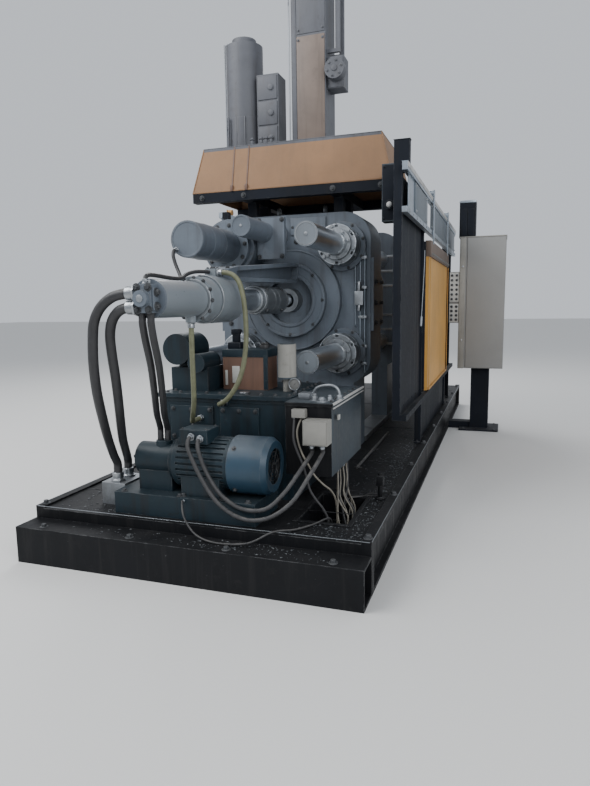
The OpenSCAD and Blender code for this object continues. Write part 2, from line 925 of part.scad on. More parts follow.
module guard_rails() {
    color([0.55, 0.60, 0.66]) {
        mirror([0, 1, 0]) rails_from(guard_x, post_x[0]);
        rails_from(rear_x, rear_x);
    }
}

module guard_posts() {
    color([0.13, 0.15, 0.19]) {
        mirror([0, 1, 0]) posts_at(post_x);
        posts_at(rear_post_x);
    }
}

module posts_at(places) {
    for (x = places) {
        foot = (x == post_x[0]) ? sill_z : deck_height;
        top = (x == post_x[0]) ? rail_top + near_post_rise : rail_top;
        box(x, x + guard_post, post_y, post_y + guard_post, foot, top);
        if (top > rail_top)
            box(x, x + guard_post, post_y + guard_post - eps, guard_y + rail_thick / 2, rail_top, top);
        for (band = [[rail_z - rail_height / 2, rail_top, rail_thick],
            [header_z - rail_thick / 2, header_z + rail_thick / 2, rail_thick], [sill_z, sill_z + sill_size, sill_size]]) {
            box(x, x + guard_post, post_y + guard_post - eps, guard_y - band[2] / 2, band[0], band[1]);
        }
    }
}

// Lamp box on the near part of the operator's guard, on a bracket from the guard's inside
lamp_x = post_x[0] + 340;
module lamp_box() {
    y1 = -post_y + 24;
    z0 = rail_z - 320;
    color([0.42, 0.48, 0.54])
    union() {
        box(lamp_x, lamp_x + 130, y1, y1 + 125, z0, z0 + 430);
        rod_x(lamp_x - 20, lamp_x + eps, y1 + 62, z0 + 122, 34);
        box(lamp_x + 40, lamp_x + 90, -post_y - guard_post / 2 + panel_thick / 2, y1 + eps, z0 + 120, z0 + 160);
    }
}

panel_y = post_y + guard_post / 2 - panel_thick / 2;
module low_panel(start) {
    box(start + guard_post, post_x[2], panel_y, panel_y + panel_thick, deck_height, sill_z + sill_size);
}

module door_leaf(start) {
    fold = 25;
    union() {
        box(start, door_x + door_length, hanger_y - door_thick, hanger_y - fold / 2, door_z, door_top);
        box(start, door_x + door_length, hanger_y - door_thick, hanger_y, door_top - fold, door_top);
    }
}

hanger_width = 60;
hanger_thick = 10;
module hanger_pair(start) {
    lap = 20;
    roller_z = rail_top + roller_radius + 0.3;
    for (x = [start + 150, door_x + door_length - 150 - hanger_width]) {
        box(x, x + hanger_width, hanger_y, hanger_y + hanger_thick, door_top - lap, roller_z + hanger_width / 2);
        rod_y(guard_y - rail_thick / 2, hanger_y + eps, x + hanger_width / 2, roller_z, roller_radius);
    }
}

// A panel ahead of the door and a low one under it
module operator_guard() {
    color([0.10, 0.13, 0.20])
    mirror([0, 1, 0]) {
        box(post_x[0] + guard_post, post_x[1], panel_y, panel_y + panel_thick, sill_z, rail_z - rail_height / 2);
        low_panel(post_x[1]);
    }
}

// The far side's guard starts behind the fixed platen; its door leaf is bolted in place
module rear_guard() {
    color([0.10, 0.13, 0.20]) low_panel(rear_x);
}

rear_door_x = rear_x + guard_post + 20;
module rear_door() {
    color([0.85, 0.55, 0.15])
    union() {
        door_leaf(rear_door_x);
        hanger_pair(rear_door_x);
    }
}

module sliding_door() {
    color([0.88, 0.60, 0.16]) mirror([0, 1, 0]) door_leaf(door_x);
}

module door_hangers() {
    color([0.45, 0.45, 0.45]) mirror([0, 1, 0]) hanger_pair(door_x);
}

// Hydraulic unit
module oil_tank() {
    color([0.15, 0.27, 0.32])
    box(tank_x, tank_x + tank_length, tank_y, tank_y + tank_width, deck_height, tank_top);
}

module tank_lid() {
    lip = 25;
    color([0.17, 0.30, 0.35])
    box(tank_x - lip, tank_x + tank_length, tank_y, tank_y + tank_width + lip, tank_top, lid_top);
}

side_x = tank_x - 150;
pit_x = side_x - 200;
pit_y = tank_y - side_width - 150;
side_top = lid_top - 10;
module side_box() {
    lip = 12;
    color([0.38, 0.46, 0.50])
    union() {
        box(side_x, side_x + side_length, tank_y - side_width, tank_y, side_top - side_height, side_top);
        box(side_x - lip, side_x + side_length + lip, tank_y - side_width - lip, tank_y, side_top - 2 * lip, side_top - eps);
    }
}

junction_z = lid_top - 260;
module junction_box() {
    color([0.85, 0.83, 0.75])
    box(side_x - 110, side_x, tank_y - side_width, tank_y - side_width + 156, junction_z, junction_z + 154);
}

module lubricator() {
    color([0.55, 0.30, 0.20])
    box(tank_x + 250, tank_x + 450, -200, 143, lid_top, lid_top + 286);
}

module oil_filter() {
    color([0.85, 0.83, 0.76])
    union() {
        rod_z(lid_top, lid_top + 100, tank_x + 250, -350, 30);
        rod_z(lid_top + 100 - eps, lid_top + 330, tank_x + 250, -350, 65);
    }
}

module pressure_gauge() {
    color([0.5, 0.52, 0.52])
    union() {
        rod_z(lid_top, lid_top + 40, tank_x + 190, -430, 10);
        rod_x(tank_x + 170, tank_x + 205, -430, lid_top + 60, 42);
    }
}

motor_base_z = motor_z - cowl_radius - 10;
module motor_base() {
    reach = motor_radius + 25;
    color([0.14, 0.30, 0.36])
    box(motor_x - reach, motor_x + reach, tank_y + 60, pump_y + pump_length + 105, deck_height, motor_base_z);
}

motor_y0 = tank_y + cowl_length;
pump_y = motor_y0 + motor_length;
terminal_z = motor_z + motor_radius - 20;

// A finned body on its feet, with the terminal box on top
module motor() {
    color([0.12, 0.27, 0.34])
    union() {
        difference() {
            rod_y(motor_y0, pump_y, motor_x, motor_z, motor_radius);
            for (i = [0 : motor_fins - 1]) {
                translate([motor_x, 0, motor_z]) rotate([0, (i + 0.5) * 360 / motor_fins, 0])
                box(motor_radius - fin_depth, motor_radius + fin_depth, motor_y0 + 30, pump_y - 30, -fin_depth / 2, fin_depth / 2);
            }
        }
        box(motor_x - 150, motor_x + 150, motor_y0 + 60, pump_y - 60, motor_base_z, motor_z - 60);
        box(motor_x - 150, motor_x + 20, pump_y - 250, pump_y - 60, terminal_z, terminal_z + 85);
        box(motor_x - 70, motor_x + 10, pump_y - 230, pump_y - 80, motor_z, terminal_z + 10);
    }
}

// The cowl is open round the fan's inlet
module motor_cowl() {
    wall = 6;
    r = cowl_radius;
    color([0.20, 0.55, 0.68])
    translate([motor_x, motor_y0, motor_z]) rotate([90, 0, 0])
    rotate_extrude($fn = fine)
    polygon([
        [0, 0], [r, 0], [r, cowl_length - 30], [r - 22, cowl_length],
        [r * 0.62, cowl_length], [r * 0.62, cowl_length - wall], [r - 26, cowl_length - wall],
        [r - wall, cowl_length - 34], [r - wall, 70], [60, 70], [60, 40], [0, 40]
    ]);
}

module oil_pump() {
    color([0.16, 0.25, 0.28])
    union() {
        rod_y(pump_y, pump_y + 40, motor_x, motor_z, pump_radius + 30);
        rod_y(pump_y + 40 - eps, pump_y + pump_length, motor_x, motor_z, pump_radius);
        box(motor_x - 90, motor_x + 90, pump_y + 40, pump_y + pump_length - 20, motor_base_z, motor_z - 60);
        rod_z(motor_z, feed_z, feed_x, feed_y, feed_radius * 2.6);
    }
}

// Block on the tank lid with its two horizontal cylinders
valve_x = tank_x + 100;
valve_y = tank_y + tank_width - 150;
module valve_block() {
    color([0.16, 0.22, 0.26])
    union() {
        box(valve_x, valve_x + 270, valve_y - 160, valve_y + 130, lid_top, lid_top + 170);
        box(valve_x + 80, valve_x + 240, valve_y, valve_y + 110, lid_top + 170 - eps, lid_top + 230);
        rod_x(valve_x - 40, valve_x + 250, valve_y + 60, lid_top + 300, 110);
        rod_x(valve_x - 60, valve_x + 200, valve_y - 100, lid_top + 205, 66);
    }
}

// Control cabinet on its own foot beside the machine
module control_cabinet() {
    color([0.82, 0.80, 0.74])
    box(cabinet_x, cabinet_x + cabinet_length, cabinet_y - cabinet_width, cabinet_y,
        cabinet_z, cabinet_z + cabinet_height);
}

module button_panel() {
    color([0.60, 0.62, 0.64])
    box(cabinet_x, cabinet_x + 60, cabinet_y, cabinet_y + 115, cabinet_z + 565, cabinet_z + 1190);
}

// Dark box on the roof of the cabinet
module top_box() {
    color([0.13, 0.14, 0.16])
    box(cabinet_x + 10, cabinet_x + 260, cabinet_y - 175, cabinet_y + 15 - eps, cabinet_z + cabinet_height,
        cabinet_z + cabinet_height + 440);
}

// The stand's floor duct brings the cables from the base
module cabinet_stand() {
    x = cabinet_x + cabinet_length / 2;
    y = cabinet_y - cabinet_width / 2;
    duct_width = 160;
    duct_height = 90;
    color([0.25, 0.27, 0.30])
    union() {
        box(x - stand_side / 2, x + stand_side / 2, y - stand_side / 2, y + stand_side / 2, 0, cabinet_z);
        box(x - foot_side / 2, x + foot_side / 2, y - foot_side / 2, y + foot_side / 2, 0, 20);
        box(x - duct_width / 2, x + duct_width / 2, y, -base_width / 2, 0, duct_height);
    }
}

// Block on the deck where the hoses of the shot cylinder end
manifold_x = motor_x + 40;
manifold_y = pump_y + pump_length + 205;
manifold_z = deck_height + 150;
module hose_manifold() {
    color([0.20, 0.24, 0.26])
    box(manifold_x - 100, manifold_x + 160, manifold_y - 90, manifold_y + 90, deck_height, manifold_z);
}

// Hoses
function unit(v) = v / norm(v);
function curve_point(p, i, t) =
    let (a = p[max(i - 1, 0)], b = p[i], c = p[i + 1], d = p[min(i + 2, len(p) - 1)])
    0.5 * (2 * b + (c - a) * t + (2 * a - 5 * b + 4 * c - d) * t * t + (3 * b - a - 3 * c + d) * t * t * t);
function curve(p, steps) = concat(
    [for (i = [0 : len(p) - 2]) for (s = [0 : steps - 1]) curve_point(p, i, s / steps)],
    [p[len(p) - 1]]);
function tangent(p, i) = unit(p[min(i + 1, len(p) - 1)] - p[max(i - 1, 0)]);

// A round tube swept along a route, with its sections turned from one fixed direction
module hose(route, radius, steps, across) {
    sides = 8;
    p = curve(route, steps);
    n = len(p);
    points = [for (i = [0 : n - 1])
        let (t = tangent(p, i), u = unit(cross(across, t)), w = cross(t, u))
        for (k = [0 : sides - 1])
            p[i] + radius * (cos(360 * k / sides) * u + sin(360 * k / sides) * w)];
    walls = [for (i = [0 : n - 2]) for (k = [0 : sides - 1])
        let (a = i * sides + k, b = i * sides + (k + 1) % sides)
        each [[a, a + sides, b], [b, a + sides, b + sides]]];
    first = [for (k = [0 : sides - 1]) k];
    last = [for (k = [sides - 1 : -1 : 0]) (n - 1) * sides + k];
    polyhedron(points, concat(walls, [first], [last]), convexity = 6);
}

// Each route starts and ends with a straight stretch, square to the face that it meets
cap_side = cap_width / 2;
cap_mid = cap_x + 30;
pressure_route_a = [
    [cap_mid, cap_side, axis_height + 30], [cap_mid, cap_side + 30, axis_height + 30],
    [cap_mid, cap_side + 60, axis_height + 30], [cap_mid, 202, 1662], [cap_mid, 280, 1610], [cap_mid + 5, 332, 1532],
    [cap_mid + 10, 352, 1430], [cap_mid + 30, 372, 1290], [cap_mid + 85, 402, 1130], [cap_mid + 185, 450, 970],
    [cap_mid + 315, 520, 830], [cap_mid + 455, 600, 720], [cap_mid + 555, 650, 630],
    [manifold_x - 40, manifold_y, manifold_z + 120], [manifold_x - 40, manifold_y, manifold_z + 60],
    [manifold_x - 40, manifold_y, manifold_z]
];
pressure_route_b = [
    [cap_mid, cap_side, axis_height - 45], [cap_mid, cap_side + 30, axis_height - 45],
    [cap_mid, cap_side + 60, axis_height - 45], [cap_mid + 10, 175, 1587], [cap_mid + 30, 235, 1535],
    [cap_mid + 60, 275, 1455], [cap_mid + 95, 295, 1350], [cap_mid + 145, 315, 1210], [cap_mid + 225, 360, 1050],
    [cap_mid + 335, 430, 900], [cap_mid + 475, 520, 770], [cap_mid + 625, 610, 665],
    [manifold_x + 80, manifold_y, manifold_z + 120], [manifold_x + 80, manifold_y, manifold_z + 60],
    [manifold_x + 80, manifold_y, manifold_z]
];
pressure_hose_radius = 28;
module pressure_hoses() {
    color([0.07, 0.07, 0.08])
    for (route = [pressure_route_a, pressure_route_b]) {
        hose(route, pressure_hose_radius, 4, [1, 0, 0]);
    }
}

feed_x = motor_x - 10;
feed_y = pump_y + 130;
feed_z = motor_z + pump_radius + 20;
feed_route = [
    [cap_mid, 0, axis_height - cap_height / 2], [cap_mid, 0, axis_height - cap_height / 2 - 30],
    [cap_mid, 0, axis_height - cap_height / 2 - 60], [cap_mid + 35, 10, 1430], [cap_mid + 125, 40, 1280],
    [cap_mid + 245, 100, 1100], [cap_mid + 370, 170, 970], [cap_mid + 510, 245, 890], [feed_x, feed_y, feed_z + 80],
    [feed_x, feed_y, feed_z + 40], [feed_x, feed_y, feed_z]
];

// The upper hose runs from the port on top of the cylinder to the tank, the lower one from under the barrel
oil_route_a = [
    [port_x, -port_side, port_z], [port_x, -port_side - 25, port_z], [port_x, -port_side - 50, port_z],
    [port_x, -135, port_z - 13], [port_x, -178, port_z - 53], [port_x, -203, 1690], [port_x, -217, 1600],
    [port_x, -223, 1480], [port_x, -218, 1350], [port_x - 5, -198, 1220], [port_x - 15, -155, 1100],
    [port_x - 10, -85, 1010], [port_x + 25, -15, 967], [tank_x - 80, 20, tank_top - 25],
    [tank_x - 40, 20, tank_top - 25], [tank_x, 20, tank_top - 25]
];
low_port_z = axis_height - barrel_radius - port_radius;
oil_route_b = [
    [low_port_x, 0, low_port_z], [low_port_x, 0, low_port_z - 25], [low_port_x, 0, low_port_z - 50],
    [low_port_x, 0, 1380], [low_port_x + 5, 3, 1260], [low_port_x + 20, 10, 1140], [low_port_x + 55, 30, 1030],
    [low_port_x + 120, 75, 935], [low_port_x + 210, 130, 872], [low_port_x + 300, 178, 846],
    [tank_x - 80, 200, tank_top - 140], [tank_x - 40, 200, tank_top - 140], [tank_x, 200, tank_top - 140]
];
oil_hose_radius = 16;
module oil_hoses() {
    color([0.65, 0.65, 0.35])
    for (route = [oil_route_a, oil_route_b]) {
        hose(route, oil_hose_radius, 4, [1, -1, 1]);
    }
}

// Cables hang in loops from the motor's terminal box to the junction box
terminal_x = motor_x - 150;
front_x = motor_x - cowl_radius - 45;
cable_end_z = junction_z;
cable_route_a = [
    [terminal_x, 10, terminal_z + 45], [terminal_x - 20, 10, terminal_z + 45], [terminal_x - 40, 10, terminal_z + 45],
    [front_x - 10, -20, 745], [front_x - 10, -85, 600], [front_x - 10, -190, 450], [front_x - 10, -340, 365],
    [front_x, -500, 375], [front_x + 60, -630, 460], [front_x + 160, -700, 580], [side_x - 60, -735, cable_end_z - 60],
    [side_x - 60, -735, cable_end_z - 30], [side_x - 60, -735, cable_end_z]
];
cable_route_b = [
    [terminal_x, -50, terminal_z + 35], [terminal_x - 20, -50, terminal_z + 35], [terminal_x - 40, -50, terminal_z + 35],
    [front_x + 10, -70, 740], [front_x + 20, -110, 620], [front_x + 20, -200, 490], [front_x + 20, -330, 415],
    [front_x + 30, -480, 420], [front_x + 90, -580, 510], [front_x + 190, -645, 620], [side_x - 55, -665, cable_end_z - 60],
    [side_x - 55, -665, cable_end_z - 30], [side_x - 55, -665, cable_end_z]
];
cable_radius = 13;

// A thin cable lies over the edge of the deck and on the low channel, and ends in the pit
thin_radius = 6;
thin_route = [
    [motor_x - motor_radius - 25, 60, 420], [motor_x - motor_radius - 35, 60, 420],
    [motor_x - motor_radius - 45, 60, 420], [deck_x0 - 10, 20, deck_height + 55], [deck_x0 - 45, -60, step_height + 40],
    [deck_x0 - 80, -170, step_height + thin_radius + 6], [deck_x0 - 90, -310, step_height + thin_radius + 5],
    [deck_x0 - 70, -440, step_height + 28], [deck_x0 - 15, -560, deck_height + 20], [deck_x0 + 80, -660, deck_height + thin_radius + 4],
    [deck_x0 + 200, -740, deck_height + thin_radius + 4], [pit_x + 60, -790, deck_height + 10],
    [pit_x + 145, -790, deck_height - 38], [pit_x + 178, -782, deck_height - 100],
    [pit_x + 180, -780, deck_height - pit_depth + 40], [pit_x + 180, -780, deck_height - pit_depth + 20],
    [pit_x + 180, -780, deck_height - pit_depth]
];
module machine_cables() {
    color([0.40, 0.41, 0.42])
    for (route = [cable_route_a, cable_route_b]) {
        hose(route, cable_radius, 4, [0.3, 0.1, 1]);
    }
    color([0.40, 0.41, 0.42]) hose(thin_route, thin_radius, 4, [0.3, 0.1, 1]);
}

bed_frame();
front_step();
slide_ways();
fixed_platen();
moving_platen();
end_platen();
tie_bars();
bar_nuts();
end_nuts();
front_links();
rear_links();
drive_links();
toggle_pins();
crosshead();
closing_cylinder();
centre_flange();
shot_sleeve();
shot_cylinder();
cylinder_cap();
cylinder_arm();
feed_pipes();
plunger_rod();
plunger_coupling();
bar_puller();
core_cylinder();
fume_hood();
hood_beams();
spray_column();
spray_drive();
pressure_bottle();
valve_box();
guard_rails();
guard_posts();
lamp_box();
operator_guard();
rear_guard();
rear_door();
sliding_door();
door_hangers();
oil_tank();
tank_lid();
side_box();
junction_box();
lubricator();
oil_filter();
pressure_gauge();
motor_base();
motor();
motor_cowl();
oil_pump();
valve_block();
control_cabinet();
button_panel();
top_box();
cabinet_stand();
pressure_hoses();
oil_hoses();
machine_cables();
hose_manifold();
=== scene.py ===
"""Builds the looks of a cold-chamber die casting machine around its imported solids."""
import json
import math
import random

import bmesh
import bpy
from mathutils import Matrix, Vector


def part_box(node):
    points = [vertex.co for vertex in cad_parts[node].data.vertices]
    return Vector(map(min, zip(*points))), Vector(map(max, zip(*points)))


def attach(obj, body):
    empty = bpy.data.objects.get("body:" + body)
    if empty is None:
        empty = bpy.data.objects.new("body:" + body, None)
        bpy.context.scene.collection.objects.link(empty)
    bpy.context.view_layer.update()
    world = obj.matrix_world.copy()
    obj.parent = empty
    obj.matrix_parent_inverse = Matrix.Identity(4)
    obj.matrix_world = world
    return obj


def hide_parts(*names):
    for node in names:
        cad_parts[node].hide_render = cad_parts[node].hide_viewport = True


bl_info = {
    "name": "Die casting machine",
    "version": (1, 0, 0),
    "blender": (4, 5, 0),
    "location": "3D View > Sidebar > Machine",
    "description": "Dresses the solids of a cold-chamber die casting machine with finishes and fittings",
    "category": "Add Mesh",
}

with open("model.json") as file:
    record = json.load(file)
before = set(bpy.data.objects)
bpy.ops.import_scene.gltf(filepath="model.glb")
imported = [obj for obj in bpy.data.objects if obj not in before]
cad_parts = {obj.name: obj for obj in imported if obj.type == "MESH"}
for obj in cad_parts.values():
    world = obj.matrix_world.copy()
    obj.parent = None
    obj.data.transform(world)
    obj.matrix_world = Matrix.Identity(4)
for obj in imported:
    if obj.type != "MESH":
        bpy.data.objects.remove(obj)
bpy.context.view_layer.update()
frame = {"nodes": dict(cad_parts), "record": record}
NODES = frame["nodes"]
SLOT_OF = {part["node"]: part["material_slot"] for part in frame["record"]["subparts"]}

X, Y, Z = Vector((1, 0, 0)), Vector((0, 1, 0)), Vector((0, 0, 1))


def low(node):
    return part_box(node)[0]


def high(node):
    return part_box(node)[1]


def middle(node):
    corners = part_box(node)
    return (corners[0] + corners[1]) / 2


# Sizes and colours that a user would change

class MachineSizes(bpy.types.PropertyGroup):
    bolt_scale: bpy.props.FloatProperty(
        name="Bolts", description="Scale of every bolt head", default=1.0, min=0.5, max=1.5)
    crumb_share: bpy.props.FloatProperty(
        name="Crumbs", description="Share of the crumbs and flakes that lie on the deck",
        default=1.0, min=0, max=1)


def colour_property(name, description, default):
    return bpy.props.FloatVectorProperty(
        name=name, description=description, subtype="COLOR", size=3, default=default, min=0, max=1)


class MachineColours(bpy.types.PropertyGroup):
    body: colour_property("Body", "Slate blue-grey of the platens", (0.098, 0.119, 0.146))
    hood: colour_property("Hood", "Orange of the fume hood", (0.225, 0.120, 0.055))
    door: colour_property("Door", "Orange-yellow of the sliding door", (0.52, 0.270, 0.055))
    tank: colour_property("Tank", "Dark teal of the oil tank and motor", (0.010, 0.021, 0.029))
    cowl: colour_property("Fan cowl", "Cyan-blue of the motor's fan cowl", (0.013, 0.038, 0.064))
    cabinet: colour_property("Cabinet", "Beige of the control cabinet", (0.245, 0.246, 0.240))


# Shader node helpers

def add(tree, kind, links=None, **settings):
    """Adds a node, sets its properties and plain inputs, and links what is given as a socket."""
    node = tree.nodes.new(kind)
    for key, value in settings.items():
        setattr(node, key, value)
    for key, value in (links or {}).items():
        if isinstance(value, bpy.types.NodeSocket):
            tree.links.new(value, node.inputs[key])
        else:
            node.inputs[key].default_value = value
    return node


def maths(operation, a, b=0.0, clamp=False):
    tree = (a if isinstance(a, bpy.types.NodeSocket) else b).id_data
    return add(tree, "ShaderNodeMath", {0: a, 1: b}, operation=operation, use_clamp=clamp).outputs[0]


def times(a, b, clamp=False):
    return maths("MULTIPLY", a, b, clamp)


def plus(a, b, clamp=False):
    return maths("ADD", a, b, clamp)


def minus(a, b, clamp=False):
    return maths("SUBTRACT", a, b, clamp)


def mix(factor, a, b):
    return add(factor.id_data, "ShaderNodeMix", {0: factor, 6: a, 7: b}, data_type="RGBA").outputs[2]


def tint(colour, value):
    return add(value.id_data, "ShaderNodeHueSaturation", {"Color": colour, "Value": value}).outputs[0]


def ramp(value, start, end):
    """A smooth step from start to end."""
    return add(value.id_data, "ShaderNodeMapRange", {"Value": value, "From Min": start, "From Max": end},
               interpolation_type="SMOOTHSTEP", clamp=True).outputs["Result"]


def spread(value, least, most):
    """The middle of a noise's range, spread from least to most."""
    return add(value.id_data, "ShaderNodeMapRange", {
        "Value": value, "From Min": 0.3, "From Max": 0.7, "To Min": least, "To Max": most}).outputs["Result"]


def noise(tree, scale, detail=4.0, rough=0.55, stretch=(1, 1, 1), warp=0.0):
    """Noise in the machine's own metres, stretched along its axes."""
    place = add(tree, "ShaderNodeTexCoord").outputs["Object"]
    place = add(tree, "ShaderNodeMapping", {"Vector": place, "Scale": stretch}).outputs[0]
    return add(tree, "ShaderNodeTexNoise", {
        "Vector": place, "Scale": scale, "Detail": detail, "Roughness": rough, "Distortion": warp}).outputs["Fac"]


def edge_mask(tree, radius, spots):
    """Where the surface turns within radius, broken up by spots."""
    rounded = add(tree, "ShaderNodeBevel", {"Radius": radius}, samples=4).outputs[0]
    flat = add(tree, "ShaderNodeNewGeometry").outputs["Normal"]
    turn = add(tree, "ShaderNodeVectorMath", {0: rounded, 1: flat}, operation="DOT_PRODUCT").outputs["Value"]
    return times(ramp(turn, 0.985, 0.80), ramp(spots, 0.42, 0.60))


def tilt_of(tree):
    """How much the surface faces up, from -1 to 1."""
    normal = add(tree, "ShaderNodeNewGeometry").outputs["Normal"]
    return add(tree, "ShaderNodeSeparateXYZ", {0: normal}).outputs["Z"]


def worn_paint(tree, given):
    """Old machine paint: patches, oily drips, chipped edges and settled dust."""
    patches = noise(tree, 1.7, 6, 0.6, warp=0.4)
    grain = noise(tree, 34.0, 8, 0.68)
    spots = noise(tree, 9.0, 8, 0.72, warp=0.8)
    drips = noise(tree, 3.0, 6, 0.62, stretch=(5, 5, 0.32), warp=0.3)
    tone = tint(given["Paint"], plus(1.0, times(spread(patches, -0.26, 0.28), given["Patches"])))
    tilt = tilt_of(tree)
    drip = times(ramp(drips, 0.50, 0.66), minus(1.0, maths("ABSOLUTE", tilt), True))
    dirt = times(maths("MAXIMUM", drip, ramp(spots, 0.54, 0.70)), given["Grime Amount"], True)
    tone = mix(dirt, tone, given["Grime"])
    chips = times(ramp(grain, 0.66, 0.70), ramp(spots, 0.52, 0.60))
    bare = maths("MAXIMUM", times(edge_mask(tree, 0.009, spots), given["Wear"], True),
                 times(chips, given["Wear"], True))
    tone = mix(bare, tone, given["Metal"])
    settled = times(times(ramp(tilt, 0.45, 0.95), ramp(patches, 0.34, 0.62)), given["Dust Amount"], True)
    rough = minus(plus(given["Gloss"], times(grain, 0.22)), times(dirt, 0.16))
    return {"Color": mix(settled, tone, given["Dust"]),
            "Roughness": plus(rough, times(settled, 0.3), True),
            "Bare": bare,
            "Height": plus(minus(times(grain, 0.35), times(bare, 0.8)), times(dirt, 0.25))}


def turned_steel(tree, given):
    """Bright turned or ground steel with oil stains and fine marks round its axis."""
    marks = noise(tree, 60.0, 5, 0.7, stretch=(14, 0.6, 0.6))
    cloud = noise(tree, 3.4, 7, 0.65, warp=0.7)
    specks = noise(tree, 55.0, 6, 0.7)
    stain = maths("MAXIMUM", times(ramp(cloud, 0.50, 0.72), given["Stain Amount"], True),
                  times(ramp(specks, 0.68, 0.74), given["Stain Amount"], True))
    tone = tint(given["Steel"], spread(marks, 0.86, 1.10))
    return {"Color": mix(stain, tone, given["Stain"]),
            "Roughness": plus(plus(given["Gloss"], times(stain, 0.35)), times(marks, 0.12), True),
            "Height": plus(times(marks, 0.25), times(stain, 0.2))}


def soft_skin(tree, given):
    """Rubber and plastic: faint mottling, dust on top and a fine grain."""
    mottle = noise(tree, 22.0, 6, 0.65)
    grain = noise(tree, 260.0, 3, 0.5)
    dust = times(times(ramp(tilt_of(tree), 0.45, 0.95), ramp(mottle, 0.35, 0.65)), given["Dust Amount"], True)
    tone = tint(given["Base"], spread(mottle, 0.75, 1.25))
    return {"Color": mix(dust, tone, given["Dust"]),
            "Roughness": plus(given["Gloss"], times(mottle, 0.25), True),
            "Height": grain}


# Each shared effect with its inputs; colours have four numbers
EFFECTS = {
    "worn_paint": (worn_paint, ("Color", "Roughness", "Bare", "Height"), {
        "Paint": (0.1, 0.1, 0.1, 1), "Grime": (0.02, 0.02, 0.02, 1), "Metal": (0.35, 0.36, 0.37, 1),
        "Dust": (0.24, 0.23, 0.21, 1), "Grime Amount": 0.5, "Wear": 0.5, "Dust Amount": 0.4,
        "Gloss": 0.45, "Patches": 1.0}),
    "turned_steel": (turned_steel, ("Color", "Roughness", "Height"), {
        "Steel": (0.5, 0.5, 0.5, 1), "Stain": (0.1, 0.09, 0.08, 1), "Stain Amount": 0.4, "Gloss": 0.2}),
    "soft_skin": (soft_skin, ("Color", "Roughness", "Height"), {
        "Base": (0.02, 0.02, 0.02, 1), "Dust": (0.2, 0.19, 0.17, 1), "Dust Amount": 0.5, "Gloss": 0.5}),
}


def effect_group(name):
    """The node group of an effect, made on its first use."""
    if name in bpy.data.node_groups:
        return bpy.data.node_groups[name]
    draw, outputs, inputs = EFFECTS[name]
    tree = bpy.data.node_groups.new(name, "ShaderNodeTree")
    for label, value in inputs.items():
        kind = "NodeSocketColor" if isinstance(value, tuple) else "NodeSocketFloat"
        tree.interface.new_socket(name=label, in_out="INPUT", socket_type=kind).default_value = value
    for label in outputs:
        kind = "NodeSocketColor" if label == "Color" else "NodeSocketFloat"
        tree.interface.new_socket(name=label, in_out="OUTPUT", socket_type=kind)
    given, out = tree.nodes.new("NodeGroupInput"), tree.nodes.new("NodeGroupOutput")
    for label, socket in draw(tree, given.outputs).items():
        tree.links.new(socket, out.inputs[label])
    return tree


def material(name, effect, values, bump=0.0006, edge=0.004, **shader_values):
    """A material whose colour, roughness and bump come from one of the shared effects."""
    made = bpy.data.materials.new(name)
    made.use_nodes = True
    tree = made.node_tree
    shader = tree.nodes["Principled BSDF"]
    look = tree.nodes.new("ShaderNodeGroup")
    look.node_tree = effect_group(effect)
    for key, value in values.items():
        look.inputs[key].default_value = (*value, 1) if isinstance(value, (tuple, list)) else value
    for key, value in shader_values.items():
        shader.inputs[key.replace("_", " ")].default_value = value
    for source, target in (("Color", "Base Color"), ("Roughness", "Roughness"), ("Bare", "Metallic")):
        if source in look.outputs:
            tree.links.new(look.outputs[source], shader.inputs[target])
    relief = add(tree, "ShaderNodeBump", {"Strength": 0.6, "Distance": bump, "Height": look.outputs["Height"]})
    if edge:
        rounded = add(tree, "ShaderNodeBevel", {"Radius": edge}, samples=4)
        tree.links.new(rounded.outputs[0], relief.inputs["Normal"])
    tree.links.new(relief.outputs[0], shader.inputs["Normal"])
    return made


OIL = (0.012, 0.012, 0.013)
BROWN_OIL = (0.035, 0.026, 0.020)
STEEL_STAIN = (0.09, 0.08, 0.07)
FINE_BUMP = 0.0003


def paint(name, colour, grime, wear, dust, gloss, grime_colour=BROWN_OIL, patches=1.0, **extra):
    return material(name, "worn_paint", {
        "Paint": tuple(colour), "Grime": grime_colour, "Grime Amount": grime, "Wear": wear,
        "Dust Amount": dust, "Gloss": gloss, "Patches": patches}, **extra)


def steel(name, colour, stain, gloss):
    return material(name, "turned_steel", {
        "Steel": tuple(colour), "Stain": STEEL_STAIN, "Stain Amount": stain, "Gloss": gloss},
        bump=FINE_BUMP, Metallic=1.0)


def skin(name, colour, dust, gloss):
    return material(name, "soft_skin", {"Base": tuple(colour), "Dust Amount": dust, "Gloss": gloss},
                    bump=FINE_BUMP)


